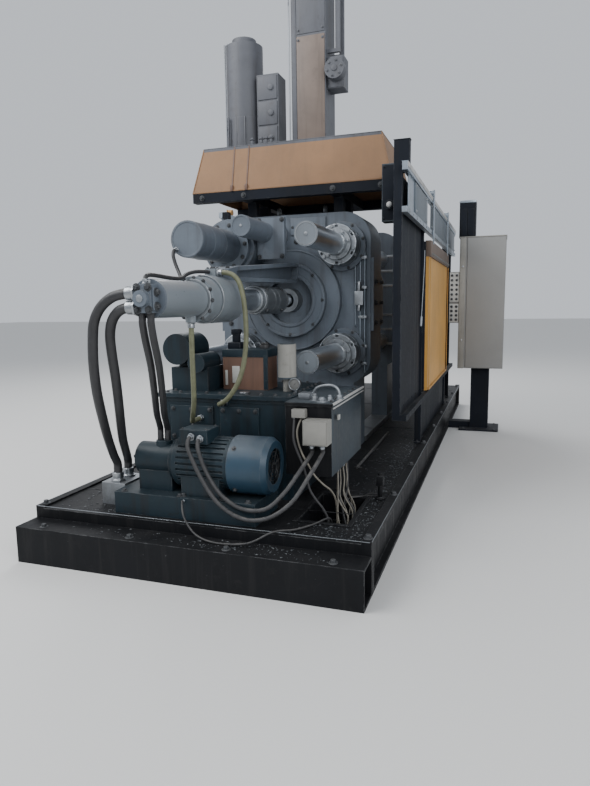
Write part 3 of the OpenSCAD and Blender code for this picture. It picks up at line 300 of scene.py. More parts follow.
def make_finishes():
    """Every finish of the machine, by the name of its slot or piece."""
    c = bpy.context.scene.machine_colours
    # paint: colour, grime, wear, dust, gloss, grime's colour, patches
    # steel: colour, stain, gloss; skin: colour, dust, gloss
    rows = {
        "base_black": (paint, (0.0055, 0.006, 0.0075), 0.75, 0.25, 0.03, 0.42, OIL),
        "platen_blue": (paint, c.body, 0.30, 0.25, 0.25, 0.40),
        "bar_steel": (steel, (0.66, 0.70, 0.74), 0.22, 0.23),
        "bar_end": (paint, (0.135, 0.155, 0.175), 0.15, 0.2, 0.1, 0.40),
        "dark_steel": (steel, (0.30, 0.32, 0.34), 0.40, 0.44),
        "bolt_dark": (paint, (0.030, 0.033, 0.037), 0.4, 0.25, 0.12, 0.34, OIL),
        "cylinder_blue": (paint, (0.165, 0.189, 0.210), 0.02, 0.02, 0.06, 0.20, OIL, 0.25),
        "tank_teal": (paint, c.tank, 0.6, 0.25, 0.06, 0.36, OIL),
        "side_grey": (paint, (0.032, 0.045, 0.057), 0.55, 0.35, 0.12, 0.38, OIL),
        "cowl_blue": (paint, c.cowl, 0.30, 0.25, 0.25, 0.30),
        "hood_orange": (paint, c.hood, 0.16, 0.12, 0.30, 0.50, (0.10, 0.06, 0.03), 0.6),
        "door_orange": (paint, c.door, 0.12, 0.15, 0.25, 0.40, (0.12, 0.07, 0.03), 0.6),
        "top_brown": (paint, (0.120, 0.084, 0.064), 0.3, 0.2, 0.3, 0.45),
        "guard_navy": (paint, (0.0075, 0.010, 0.0155), 0.5, 0.20, 0.10, 0.52, OIL),
        "rail_light": (steel, (0.34, 0.39, 0.44), 0.4, 0.32),
        "rail_pale": (paint, (0.40, 0.40, 0.39), 0.35, 0.3, 0.3, 0.36),
        "plate_blue": (paint, (0.085, 0.108, 0.130), 0.30, 0.3, 0.2, 0.36),
        "pipe_light": (paint, (0.30, 0.32, 0.35), 0.2, 0.2, 0.3, 0.34),
        "box_cream": (paint, (0.235, 0.230, 0.210), 0.25, 0.12, 0.20, 0.42),
        "plate_white": (paint, (0.40, 0.40, 0.375), 0.2, 0.1, 0.2, 0.42),
        "panel_brown": (paint, (0.15, 0.115, 0.095), 0.25, 0.2, 0.3, 0.42),
        "box_brown": (paint, (0.115, 0.062, 0.042), 0.35, 0.20, 0.25, 0.40),
        "column_grey": (paint, (0.085, 0.090, 0.105), 0.35, 0.25, 0.35, 0.44),
        "cabinet_beige": (paint, c.cabinet, 0.04, 0.03, 0.20, 0.45, (0.16, 0.155, 0.15), 0.25),
        "panel_grey": (paint, (0.15, 0.15, 0.145), 0.2, 0.2, 0.3, 0.42),
        "gauge_steel": (steel, (0.36, 0.38, 0.40), 0.40, 0.28),
        "hose_black": (skin, (0.022, 0.022, 0.024), 0.50, 0.36),
        "hose_yellow": (skin, (0.125, 0.130, 0.075), 0.30, 0.38),
        "cable_grey": (skin, (0.038, 0.038, 0.040), 0.35, 0.45),
        "wire_pale": (skin, (0.19, 0.175, 0.145), 0.30, 0.45),
        "crumb_grey": (skin, (0.045, 0.052, 0.060), 0.25, 0.5),
        "crumb_bright": (skin, (0.13, 0.14, 0.15), 0.25, 0.4),
        "lens": (skin, (0.45, 0.45, 0.44), 0.25, 0.22),
    }
    extras = {name: {"Specular_IOR_Level": level} for name, level in (
        ("base_black", 0.18), ("bolt_dark", 0.4), ("cylinder_blue", 0.8), ("tank_teal", 0.28),
        ("side_grey", 0.35), ("guard_navy", 0.15))}
    extras["cylinder_blue"].update(bump=0.00005, edge=0)
    return {name: maker(name, *values, **extras.get(name, {})) for name, (maker, *values) in rows.items()}


FINISH = {}


def finish_of(name):
    if not FINISH:
        FINISH.update(make_finishes())
    return FINISH[name]


# Stations read from the solids

BAR_RADIUS = 0.0875
AXIS = middle("tie_bars").z
HALF_BAR = high("tie_bars").y - BAR_RADIUS
BARS = [(sy * HALF_BAR, AXIS + sz * HALF_BAR) for sy in (-1, 1) for sz in (-1, 1)]
DECK, DECK_X, STEP = 0.300, -3.360, 0.235
PIT_X, PIT_Y = -3.100, -0.930


# Mesh helpers

def circle(axis, radius, count, start=0.0, side=None):
    """Offsets from the middle of a circle to points on it."""
    side = axis.orthogonal().normalized() if side is None else side
    other = axis.cross(side)
    angles = [start + 2 * math.pi * k / count for k in range(count)]
    return [radius * (math.cos(a) * side + math.sin(a) * other) for a in angles]


def each(value):
    return value if isinstance(value, (tuple, list)) else (value,)


class Shape:
    """Collects the faces of one piece, then makes it an object that rides on a body."""

    def __init__(self):
        self.mesh = bmesh.new()

    def _ring(self, place, offsets):
        return [self.mesh.verts.new(place + offset) for offset in offsets]

    def _skin(self, rings, capped=True):
        """Faces between neighbouring rings of points, and over both ends."""
        faces = []
        for a, b in zip(rings, rings[1:]):
            count = max(len(a), len(b))
            for k in range(count):
                j = (k + 1) % count
                corners = ([a[k], a[j]] if len(a) > 1 else a) + ([b[j], b[k]] if len(b) > 1 else b)
                if len(corners) > 2:
                    faces.append(self.mesh.faces.new(corners))
        if capped:
            faces += [self.mesh.faces.new(ring) for ring in (rings[0], rings[-1]) if len(ring) > 2]
        bmesh.ops.recalc_face_normals(self.mesh, faces=faces)
        return self

    def box(self, corner_a, corner_b, bevel=0.004):
        """A box with bevelled edges."""
        a, b = Vector(corner_a), Vector(corner_b)
        size = Vector([abs(b[i] - a[i]) for i in range(3)])
        verts = bmesh.ops.create_cube(self.mesh, size=1.0)["verts"]
        bmesh.ops.scale(self.mesh, vec=size, verts=verts)
        done = bmesh.ops.bevel(self.mesh, geom=list({e for v in verts for e in v.link_edges}),
                               offset=min(bevel, 0.45 * min(size)), segments=2, profile=0.6, affect="EDGES")
        verts = list({v for f in done["faces"] for v in f.verts} | {v for v in verts if v.is_valid})
        bmesh.ops.translate(self.mesh, vec=(a + b) / 2, verts=verts)
        return self

    def block(self, x, y, z, half_x, half_y, tall, bevel=0.002):
        """A bevelled box that stands on z, with its middle over x and y."""
        return self.box((x - half_x, y - half_y, z), (x + half_x, y + half_y, z + tall), bevel)

    def prism(self, outline, start, end, across, upward):
        """An outline in the across and upward directions, swept from start to end."""
        offsets = [u * across + v * upward for u, v in outline]
        return self._skin([self._ring(Vector(start), offsets), self._ring(Vector(end), offsets)])

    def lathe(self, profile, place, axis, steps=48):
        """Turns a profile of (distance along axis, radius) points about an axis."""
        place, axis = Vector(place), Vector(axis).normalized()
        rings = [self._ring(place + along * axis,
                            circle(axis, radius, steps) if radius > 1e-6 else [Vector()])
                 for along, radius in profile]
        return self._skin(rings, profile[0] != profile[-1])

    def rod(self, start, end, radius, bevel=0.004, steps=40):
        """A cylinder with softened rims."""
        start, end = Vector(start), Vector(end)
        length = (end - start).length
        b = min(bevel, 0.4 * radius, 0.4 * length)
        rim = [(0, 0), (0, radius - b), (0.3 * b, radius - 0.3 * b), (b, radius)]
        profile = rim + [(length - along, out) for along, out in reversed(rim)]
        return self.lathe(profile, start, end - start, steps)

    def ring(self, start, end, outer, inner, bevel=0.003, steps=48):
        """A short tube with softened rims."""
        start, end = Vector(start), Vector(end)
        length = (end - start).length
        b = min(bevel, 0.3 * (outer - inner), 0.4 * length)
        profile = [(b, inner), (0, inner + b), (0, outer - b), (b, outer), (length - b, outer),
                   (length, outer - b), (length, inner + b), (length - b, inner), (b, inner)]
        return self.lathe(profile, start, end - start, steps)

    def stud(self, x, y, z, tall, radius, *more):
        """An upright rod."""
        return self.rod((x, y, z), (x, y, z + tall), radius, *more)

    def plug(self, xa, xb, radius, y=0.0, z=AXIS, *more):
        """A rod along the machine."""
        return self.rod((xa, y, z), (xb, y, z), radius, *more)

    def collar(self, xa, xb, outer, inner, bevel=0.001, y=0.0, z=AXIS, *more):
        """A ring about a line along the machine."""
        return self.ring((xa, y, z), (xb, y, z), outer, inner, bevel, *more)

    def tube(self, points, radius, sides=12, steps=6, capped=True):
        """A round hose or cable along a smooth curve through given points."""
        route = smooth(points, steps)
        rings, side = [], None
        for i, point in enumerate(route):
            ahead = (route[min(i + 1, len(route) - 1)] - route[max(i - 1, 0)]).normalized()
            side = ahead.orthogonal() if side is None else side - side.dot(ahead) * ahead
            side.normalize()
            rings.append(self._ring(point, circle(ahead, radius, sides, side=side)))
        return self._skin(rings, capped)

    def hex_bolt(self, place, axis, width, height=None, washer=True, spin=0.0):
        """A hexagon head on its washer, with its underside at place."""
        place, axis = Vector(place), Vector(axis).normalized()
        width *= bpy.context.scene.machine_sizes.bolt_scale
        height = height or 0.62 * width
        base = 0.12 * width if washer else 0.0
        if washer:
            self.lathe([(0, 0), (0, 0.95 * width), (base, 0.92 * width), (base, 0)], place, axis, 20)
        levels = [(base, 1.0), (base + 0.82 * height, 1.0), (base + height, 0.86)]
        return self._skin([self._ring(place + level * axis, circle(axis, width / math.sqrt(3) * size, 6, spin))
                           for level, size in levels])

    def bolts(self, xs, ys, zs, axis, width, *more):
        """Hexagon heads wherever the given stations meet."""
        for x in each(xs):
            for y in each(ys):
                for z in each(zs):
                    self.hex_bolt((x, y, z), axis, width, *more)
        return self

    def bolt_circle(self, centre, axis, radius, count, width, start=0.0):
        for k, out in enumerate(circle(axis, radius, count, start)):
            self.hex_bolt(Vector(centre) + out, axis, width, spin=start + 2 * math.pi * k / count)
        return self

    def piece(self, name, finish, body="machine"):
        """Makes the object, gives it its finish, and lets it ride on its body."""
        data = bpy.data.meshes.new(name)
        self.mesh.to_mesh(data)
        self.mesh.free()
        for polygon in data.polygons:
            polygon.use_smooth = True
        data.set_sharp_from_angle(angle=math.radians(35))
        made = bpy.data.objects.new(name, data)
        bpy.context.scene.collection.objects.link(made)
        data.materials.append(finish_of(finish))
        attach(made, body)
        return made


def smooth(points, steps):
    """Points along a Catmull-Rom curve through given ones."""
    p = [Vector(q) for q in points]
    if len(p) < 3 or steps < 2:
        return p
    route = []
    for i in range(len(p) - 1):
        a, b, c, d = p[max(i - 1, 0)], p[i], p[i + 1], p[min(i + 2, len(p) - 1)]
        for s in range(steps):
            t = s / steps
            route.append(0.5 * (2 * b + (c - a) * t + (2 * a - 5 * b + 4 * c - d) * t * t
                                + (3 * b - a - 3 * c + d) * t ** 3))
    return route + [p[-1]]


# Steps, one for each region of the machine

class Step:
    """What the steps share: shapes that become pieces when the step is done."""

    def new(self, name, finish, body="machine"):
        shape = Shape()
        self.pending.append((shape, name, finish, body))
        return shape

    def execute(self, context):
        self.pending = []
        self.build()
        for shape, *facts in self.pending:
            shape.piece(*facts)
        return {"FINISHED"}


class MACHINE_OT_stage(Step, bpy.types.Operator):
    """Sets up the camera, the pale floor and the soft studio light"""
    bl_idname = "machine.stage"
    bl_label = "Stage"

    def build(self):
        make_camera()
        make_floor()
        make_lights()


EYE = Vector((-6.5, -1.775, 1.6))
YAW, PITCH, ROLL = math.radians(18.9), math.radians(8.1), math.radians(0.83)
FOCAL_SHARE = 610 / 786
SENSOR = 36.0


def make_camera():
    data = bpy.data.cameras.new("photo_camera")
    data.sensor_fit = "VERTICAL"
    data.sensor_height = SENSOR
    data.lens = FOCAL_SHARE * SENSOR
    data.clip_end = 200
    made = bpy.data.objects.new("photo_camera", data)
    bpy.context.scene.collection.objects.link(made)
    level = Vector((math.cos(YAW), math.sin(YAW), 0))
    right = Vector((math.sin(YAW), -math.cos(YAW), 0))
    ahead = level * math.cos(PITCH) - Z * math.sin(PITCH)
    up = Z * math.cos(PITCH) + level * math.sin(PITCH)
    rolled_right = right * math.cos(ROLL) - up * math.sin(ROLL)
    rolled_up = right * math.sin(ROLL) + up * math.cos(ROLL)
    turn = Matrix((rolled_right, rolled_up, -ahead)).transposed().to_4x4()
    made.matrix_world = Matrix.Translation(EYE) @ turn
    bpy.context.scene.camera = made


def make_floor():
    half = 60.0
    data = bpy.data.meshes.new("floor")
    corners = [(-half, -half, 0), (half, -half, 0), (half, half, 0), (-half, half, 0)]
    data.from_pydata(corners, [], [(0, 1, 2, 3)])
    made = bpy.data.objects.new("floor", data)
    bpy.context.scene.collection.objects.link(made)
    finish = bpy.data.materials.new("pale_floor")
    finish.use_nodes = True
    shader = finish.node_tree.nodes["Principled BSDF"]
    shader.inputs["Base Color"].default_value = (0.62, 0.62, 0.61, 1)
    shader.inputs["Roughness"].default_value = 0.7
    data.materials.append(finish)


def make_lights():
    world = bpy.data.worlds.new("studio")
    world.use_nodes = True
    sky = world.node_tree.nodes["Background"]
    sky.inputs["Color"].default_value = (0.80, 0.84, 0.90, 1)
    sky.inputs["Strength"].default_value = 0.85
    bpy.context.scene.world = world
    bpy.context.scene.view_settings.view_transform = "AgX"
    for name, place, aim, size, power in (
            ("window_light", (-6.0, 5.0, 8.0), (-1.0, 0.0, 1.5), 6.0, 750),
            ("front_light", (-8.5, -6.0, 5.5), (-1.5, 0.0, 1.4), 5.0, 420),
            ("far_light", (6.0, 3.0, 8.0), (0.0, 0.0, 1.5), 6.0, 500)):
        lamp = bpy.data.lights.new(name, "AREA")
        lamp.size = size
        lamp.energy = power
        made = bpy.data.objects.new(name, lamp)
        made.matrix_world = Matrix.Translation(Vector(place)) @ (
            (Vector(aim) - Vector(place)).to_track_quat("-Z", "Y").to_matrix().to_4x4())
        bpy.context.scene.collection.objects.link(made)


class MACHINE_OT_finishes(Step, bpy.types.Operator):
    """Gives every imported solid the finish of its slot"""
    bl_idname = "machine.finishes"
    bl_label = "Finishes"

    def build(self):
        for name, node in NODES.items():
            node.data.materials.clear()
            node.data.materials.append(finish_of(SLOT_OF[name]))
        # the sills below the rails are dark, the tie bars' end faces matt, and the side box's near face black as
        # painted shade
        for name, finish, test in (("guard_rails", "guard_navy", lambda face: face.center.z < 1.0),
                                   ("tie_bars", "bar_end", lambda face: abs(face.normal.x) > 0.9),
                                   ("side_box", "base_black", lambda face: face.normal.x < -0.9)):
            data = NODES[name].data
            data.materials.append(finish_of(finish))
            for face in data.polygons:
                face.material_index = 1 if test(face) else 0


def add_cord(name, finish, points, radius, node):
    """A hose or cable along the route of its solid, which it hides where there is one."""
    made = Shape().tube(points, radius, sides=16, steps=4).piece(name, finish)
    if node:
        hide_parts(node)


def ferrule(shape, place, axis, radius, length=0.05):
    """A crimped fitting with its hexagon where a hose meets its port."""
    place, axis = Vector(place), Vector(axis).normalized()
    shape.lathe([(0.0, 0), (0.0, radius * 1.25), (0.3 * length, radius * 1.25), (0.34 * length, radius * 1.12),
                 (0.5 * length, radius * 1.2), (0.95 * length, radius * 1.18), (length, radius * 1.04),
                 (length, 0)], place, axis, 20)
    shape.hex_bolt(place, axis, radius * 2.7, 0.25 * length, washer=False)


# Routes of the hoses and cables, in metres, where their solids lie
CORDS = {
    "pressure_hose_a": ("hose_black", 0.028, "pressure_hoses", "hanging", [
        (-3.7, 0.05, 1.68), (-3.7, 0.08, 1.68), (-3.7, 0.11, 1.68), (-3.7, 0.202, 1.662), (-3.7, 0.28, 1.61),
        (-3.695, 0.332, 1.532), (-3.69, 0.352, 1.43), (-3.67, 0.372, 1.29), (-3.615, 0.402, 1.13),
        (-3.515, 0.45, 0.97), (-3.385, 0.52, 0.83), (-3.245, 0.6, 0.72), (-3.145, 0.65, 0.63),
        (-3.1, 0.66, 0.57), (-3.1, 0.66, 0.51), (-3.1, 0.66, 0.45)]),
    "pressure_hose_b": ("hose_black", 0.028, "pressure_hoses", "hanging", [
        (-3.7, 0.05, 1.605), (-3.7, 0.08, 1.605), (-3.7, 0.11, 1.605), (-3.69, 0.175, 1.587),
        (-3.67, 0.235, 1.535),
        (-3.64, 0.275, 1.455), (-3.605, 0.295, 1.35), (-3.555, 0.315, 1.21), (-3.475, 0.36, 1.05),
        (-3.365, 0.43, 0.9), (-3.225, 0.52, 0.77), (-3.075, 0.61, 0.665), (-2.98, 0.66, 0.57),
        (-2.98, 0.66, 0.51), (-2.98, 0.66, 0.45)]),
    "oil_hose_a": ("hose_yellow", 0.016, "oil_hoses", "hanging", [
        (-2.91, -0.035, 1.818), (-2.91, -0.06, 1.818), (-2.91, -0.085, 1.818), (-2.91, -0.135, 1.805),
        (-2.91, -0.178, 1.765), (-2.91, -0.203, 1.69), (-2.91, -0.217, 1.6), (-2.91, -0.223, 1.48),
        (-2.91, -0.218, 1.35), (-2.915, -0.198, 1.22), (-2.925, -0.155, 1.1), (-2.92, -0.085, 1.01),
        (-2.885, -0.015, 0.967), (-2.83, 0.02, 0.955), (-2.79, 0.02, 0.955), (-2.75, 0.02, 0.955)]),
    "oil_hose_b": ("hose_yellow", 0.016, "oil_hoses", "hanging", [
        (-3.22, 0, 1.514), (-3.22, 0, 1.489), (-3.22, 0, 1.464), (-3.22, 0, 1.38), (-3.215, 0.003, 1.26),
        (-3.2, 0.01, 1.14), (-3.165, 0.03, 1.03), (-3.1, 0.075, 0.935), (-3.01, 0.13, 0.872),
        (-2.92, 0.178, 0.846), (-2.83, 0.2, 0.84), (-2.79, 0.2, 0.84), (-2.75, 0.2, 0.84)]),
    "motor_cable_a": ("cable_grey", 0.013, "machine_cables", "hanging", [
        (-3.25, 0.01, 0.82), (-3.272, 0.01, 0.819), (-3.302, 0.006, 0.806), (-3.326, -0.002, 0.782),
        (-3.338, -0.018, 0.745),
        (-3.335, -0.085, 0.6), (-3.335, -0.19, 0.45), (-3.335, -0.34, 0.365), (-3.325, -0.5, 0.375),
        (-3.265, -0.63, 0.46), (-3.165, -0.7, 0.58), (-2.96, -0.735, 0.69), (-2.96, -0.735, 0.72),
        (-2.96, -0.735, 0.75)]),
    "motor_cable_b": ("cable_grey", 0.013, "machine_cables", "hanging", [
        (-3.25, -0.05, 0.81), (-3.266, -0.05, 0.809), (-3.290, -0.053, 0.797), (-3.308, -0.060, 0.774),
        (-3.316, -0.072, 0.738),
        (-3.305, -0.11, 0.62), (-3.305, -0.2, 0.49), (-3.305, -0.33, 0.415), (-3.295, -0.48, 0.42),
        (-3.235, -0.58, 0.51), (-3.135, -0.645, 0.62), (-2.955, -0.665, 0.69), (-2.955, -0.665, 0.72),
        (-2.955, -0.665, 0.75)]),
    "thin_cable": ("cable_grey", 0.006, "machine_cables", "loose", [
        (-3.29, 0.06, 0.42), (-3.3, 0.06, 0.42), (-3.31, 0.06, 0.42), (-3.37, 0.02, 0.355),
        (-3.405, -0.06, 0.275), (-3.44, -0.17, 0.247), (-3.45, -0.31, 0.246), (-3.43, -0.44, 0.263),
        (-3.375, -0.56, 0.32), (-3.28, -0.66, 0.31), (-3.16, -0.74, 0.31), (-3.04, -0.79, 0.31),
        (-2.955, -0.79, 0.262), (-2.922, -0.782, 0.2), (-2.92, -0.78, 0.16), (-2.92, -0.78, 0.14),
        (-2.92, -0.78, 0.12)]),
}

# Thin lines that have no solid of their own, by what they join
SMALL_LINES = {
    "barrel_line": ("hose_black", 0.012, [
        (-3.7, 0.0, 1.725), (-3.7, 0.0, 1.745), (-3.685, 0.0, 1.766), (-3.64, 0.005, 1.775),
        (-3.55, 0.012, 1.774),
        (-3.45, 0.02, 1.77), (-3.33, 0.032, 1.768), (-3.24, 0.04, 1.775), (-3.18, 0.042, 1.797),
        (-3.12, 0.038, 1.812), (-3.06, 0.028, 1.82), (-3.0, 0.014, 1.822), (-2.97, 0.01, 1.822),
        (-2.945, 0.01, 1.822)]),
    "nose_line": ("hose_black", 0.013, [
        (-2.4, 0.54, 2.025), (-2.42, 0.54, 2.023), (-2.45, 0.538, 2.01), (-2.47, 0.53, 1.975),
        (-2.48, 0.51, 1.92),
        (-2.5, 0.475, 1.86), (-2.55, 0.42, 1.79), (-2.63, 0.35, 1.73), (-2.72, 0.28, 1.695),
        (-2.81, 0.22, 1.68),
        (-2.88, 0.18, 1.672), (-2.9, 0.165, 1.67), (-2.9, 0.149, 1.67)]),
    "box_cable_a": ("wire_pale", 0.006, [
        (-2.918, -0.592, 0.915), (-2.926, -0.59, 0.9), (-2.943, -0.58, 0.87), (-2.955, -0.571, 0.82),
        (-2.955, -0.58, 0.75), (-2.955, -0.605, 0.68), (-2.955, -0.64, 0.62), (-2.95, -0.68, 0.55),
        (-2.93, -0.73, 0.49), (-2.89, -0.77, 0.44), (-2.85, -0.79, 0.37), (-2.835, -0.795, 0.27),
        (-2.83, -0.795, 0.18), (-2.83, -0.795, 0.12)]),
    "box_cable_b": ("cable_grey", 0.008, [
        (-2.918, -0.545, 0.915), (-2.926, -0.544, 0.895), (-2.943, -0.545, 0.84), (-2.96, -0.55, 0.77),
        (-2.96, -0.575, 0.69), (-2.96, -0.61, 0.61), (-2.955, -0.63, 0.53), (-2.95, -0.65, 0.45),
        (-2.945, -0.69, 0.385), (-2.935, -0.73, 0.33), (-2.925, -0.76, 0.26), (-2.92, -0.765, 0.18),
        (-2.92, -0.765, 0.12)]),
}


class MACHINE_OT_hoses(Step, bpy.types.Operator):
    """Lays the pressure hoses, oil hoses and cables along the routes of their solids"""
    bl_idname = "machine.hoses"
    bl_label = "Hoses and cables"

    def build(self):
        ends = self.new("hose_ends", "gauge_steel")
        for name, (finish, radius, node, lay, points) in CORDS.items():
            add_cord(name, finish, points, radius, node)
            for tip, inner in ((0, 1), (-1, -2)):
                ferrule(ends, points[tip], Vector(points[inner]) - Vector(points[tip]), radius * 1.12, 2.2 * radius)
        for name, (finish, radius, points) in SMALL_LINES.items():
            add_cord(name, finish, points, radius, None)
            ferrule(ends, points[0], Vector(points[1]) - Vector(points[0]), radius, 2.4 * radius)


class MACHINE_OT_base(Step, bpy.types.Operator):
    """Adds seams, fixings, the pit's frame and the grey crumbs to the base"""
    bl_idname = "machine.base"
    bl_label = "Base"

    def build(self):
        width, x1 = high("bed_frame").y, high("bed_frame").x
        fixings = self.new("base_bolts", "bolt_dark")
        spots = [DECK_X + 0.06 + k * (x1 - DECK_X - 0.3) / 8 for k in range(9)]
        fixings.bolts(spots, (0.032 - width, width - 0.032), DECK + 0.015, Z, 0.030)
        fixings.bolts(low("front_step").x + 0.05, (-0.95, -0.32, 0.32, 0.95), STEP, Z, 0.028)
        # angle frame round the cable pit
        near, far, left, right, leg = PIT_Y, PIT_Y + 0.31, PIT_X, PIT_X + 0.55, 0.03
        bars = self.new("pit_frame", "base_black")
        for a, b in (((left - leg, near - leg), (right + leg, near)), ((left - leg, far), (right + leg, far + leg)),
                     ((left - leg, near), (left, far)), ((right, near), (right + leg, far))):
            bars.box((*a, DECK), (*b, DECK + 0.008), 0.002)
        # seams of the deck plates, and a steel strip along the edge of the rim as a painted highlight
        seams = self.new("deck_seams", "base_black")
        for x in (-2.9, -2.42, -1.55, -0.1, 1.4, 2.9):
            seams.block(x, 0, DECK, 0.004, width - 0.062, 0.0025, 0.001)
        # painted highlight: a thin steel strip along the rim's top edges
        rim_highlight = self.new("rim_edge", "dark_steel")
        z0, z1 = DECK + 0.012, DECK + 0.0155
        for side in (-1, 1):
            rim_highlight.box((DECK_X + 0.01, side * (width - 0.003), z0), (x1 - 0.01, side * (width + 0.0005), z1), 0.001)
        rim_highlight.box((DECK_X - 0.0005, -width + 0.01, z0), (DECK_X + 0.003, width - 0.01, z1), 0.001)
        self.crumbs()

    def crumbs(self):
        """Crumbs and shavings that lie on the deck and the low channel, most of them along the rim."""
        chance = random.Random(7)
        grey, bright = self.new("deck_crumbs", "crumb_grey"), self.new("metal_flakes", "crumb_bright")
        zones = [((-3.33, -0.4), (-1.06, -0.90), DECK, 900, 0.25), ((-2.5, 0.4), (-0.98, -0.62), DECK, 500, 0.12),
                 ((-3.30, -2.90), (0.35, 1.02), DECK, 420, 0.25), ((-3.34, -3.14), (-1.0, -0.5), DECK, 150, 0.3),
                 ((-3.52, -3.38), (-1.0, 0.9), STEP, 260, 0.3)]
        for (xa, xb), (ya, yb), z, count, share in zones:
            for _ in range(round(count * bpy.context.scene.machine_sizes.crumb_share)):
                x, y = chance.uniform(xa, xb), chance.triangular(ya, yb, ya + 0.2 * (yb - ya))
                if PIT_X - 0.03 < x < PIT_X + 0.58 and PIT_Y - 0.03 < y < PIT_Y + 0.34:
                    continue
                size = 0.002 + 0.007 * chance.random() ** 3
                turn = chance.uniform(0, 6.28)
                corners = [(size * r * math.cos(turn + a), size * r * math.sin(turn + a))
                           for a, r in ((0, 1.0), (1.7, 0.6), (2.9, 1.1), (4.4, 0.7))]
                target = bright if chance.random() < share else grey
                target.prism(corners, (x, y, z + 0.0005), (x, y, z + 0.001 + 0.3 * size), X, Y)


class MACHINE_OT_platens(Step, bpy.types.Operator):
    """Adds bolts, lifting eyes, tubes, slots and pin keepers to the platens and the toggle"""
    bl_idname = "machine.platens"
    bl_label = "Platens"

    def build(self):
        front, boss = high("fixed_platen").x - 0.45, low("fixed_platen").x
        disc = low("centre_flange").x
        heads = self.new("platen_bolts", "bolt_dark")
        heads.bolt_circle((disc, 0, AXIS), -X, 0.300, 8, 0.020)
        for y, z in ((-0.03, 2.16), (-0.17, 2.25), (-0.20, 1.30), (0.60, 1.60), (0.0, 2.28), (0.62, 1.45)):
            heads.hex_bolt((front, y, z), -X, 0.026)
        heads.bolts((-1.2, -0.97), low("fixed_platen").y, (1.45, 1.62, 1.80), -Y, 0.028)
        ring = self.new("flange_rings", "platen_blue")
        ring.collar(disc + 0.054, disc + 0.06, 0.436, 0.424, 0.002)
        ring.collar(disc - 0.010, disc, 0.232, 0.202, 0.004)
        ring.collar(disc - 0.006, disc, 0.318, 0.296, 0.003)
        for y, z in BARS:
            heads.bolt_circle((boss, y, z), -X, 0.190, 8, 0.016, 0.3)
            ring.collar(boss - 0.001, boss + 0.006, 0.203, 0.178, 0.002, y, z)
        self.bar_ends()
        self.eyes_and_tubes(front)
        # dark clamping slots in the two die faces
        grooves = self.new("die_slots", "dark_steel")
        for xa, xb in ((high("fixed_platen").x, 0.0015), (low("moving_platen").x, -0.0015)):
            for k in (-3, -2, -1, 1, 2, 3):
                z = AXIS + k * 0.16
                grooves.box((xa, -0.64, z - 0.014), (xa + xb, 0.64, z + 0.014), 0.0005)
        self.toggle()

    def bar_ends(self):
        """Turning marks, threads, and a split clamping ring with its screws ahead of each nut."""
        centres, threads = self.new("bar_end_marks", "dark_steel"), self.new("bar_threads", "bar_steel")
        rings, screws = self.new("nut_rings", "dark_steel"), self.new("nut_screws", "dark_steel")
        bright = self.new("nut_chamfers", "bar_steel")
        x, far_x, nut = low("tie_bars").x, high("tie_bars").x, low("bar_nuts").x
        for y, z in BARS:
            open_end = (y, z) != BARS[-1]
            if open_end:
                centres.collar(x - 0.002, x, 0.080, 0.074, 0.001, y, z)
                centres.plug(x - 0.003, x, 0.013, y, z, 0.001)
                for k in range(12):
                    mark = nut - 0.012 - k * 0.008
                    threads.collar(mark - 0.0035, mark + 0.0035, BAR_RADIUS + 0.002, BAR_RADIUS - 0.002, 0.0015, y, z)
            centres.plug(far_x, far_x + 0.003, 0.013, y, z, 0.001)
            for face, ahead in [(nut, -1)] * open_end + [(high("end_nuts").x, 1)]:
                rings.collar(face, face + ahead * 0.034, 0.128, BAR_RADIUS + 0.001, 0.004, y, z)
                screws.bolt_circle((face + ahead * 0.034, y, z), ahead * X, 0.108, 8, 0.018, 0.2)
                screws.bolt_circle((face, y, z), ahead * X, 0.146, 6, 0.020, 0.52)
                bright.collar(face + ahead * 0.001, face - ahead * 0.006, 0.1652, 0.158, 0.003, y, z)
                bright.collar(face - ahead * 0.118, face - ahead * 0.126, 0.1665, 0.160, 0.002, y, z)

    def eyes_and_tubes(self, front):
        eyes = self.new("lifting_eyes", "dark_steel")
        for node, x in (("fixed_platen", front + 0.26), ("moving_platen", low("moving_platen").x + 0.2),
                        ("end_platen", low("end_platen").x + 0.2)):
            top = high(node).z
            for y in (-0.22, 0.22):
                eyes.stud(x, y, top, 0.028, 0.034)
                eyes.tube([(x + 0.036 * math.cos(a), y, top + 0.062 + 0.036 * math.sin(a))
                           for a in [k * math.pi / 8 for k in range(17)]], 0.011, 10, 2, False)
        tubes = self.new("platen_tubes", "rail_light")
        right, x = low("fixed_platen").y + 0.025, front - 0.022
        for k, (y, top, bottom) in enumerate(((right + 0.045, 2.14, 1.02), (right + 0.085, 2.09, 1.06),
                                               (right + 0.128, 1.98, 1.42))):
            heights = (top - 0.01, top - 0.06, (top + bottom) / 2, bottom + 0.06, bottom + 0.01)
            tubes.tube([(front + 0.02, y, top), *((x, y, z) for z in heights), (front + 0.02, y, bottom)],
                       0.0085 - 0.001 * k, 10, 4)
        clips = self.new("tube_clips", "gauge_steel")
        for z in (2.0, 1.75, 1.5, 1.25, 1.1):
            clips.box((front - 0.034, right + 0.028, z - 0.012), (front, right + 0.102, z + 0.012), 0.003)
            clips.hex_bolt((front - 0.034, right + 0.065, z), -X, 0.015)
        valve = self.new("platen_valve", "gauge_steel")
        valve.box((front - 0.075, right + 0.05, 1.60), (front, right + 0.125, 1.72), 0.006)
        valve.stud(front - 0.055, right + 0.088, 1.72, 0.08, 0.020)
        valve.stud(front - 0.055, right + 0.088, 1.55, 0.05, 0.016)
        cover = self.new("platen_covers", "platen_blue")
        cover.box((front - 0.018, -0.30, 2.215), (front, 0.02, 2.36), 0.006)
        cover.box((front - 0.050, 0.26, 1.93), (front, 0.40, 2.00), 0.008)

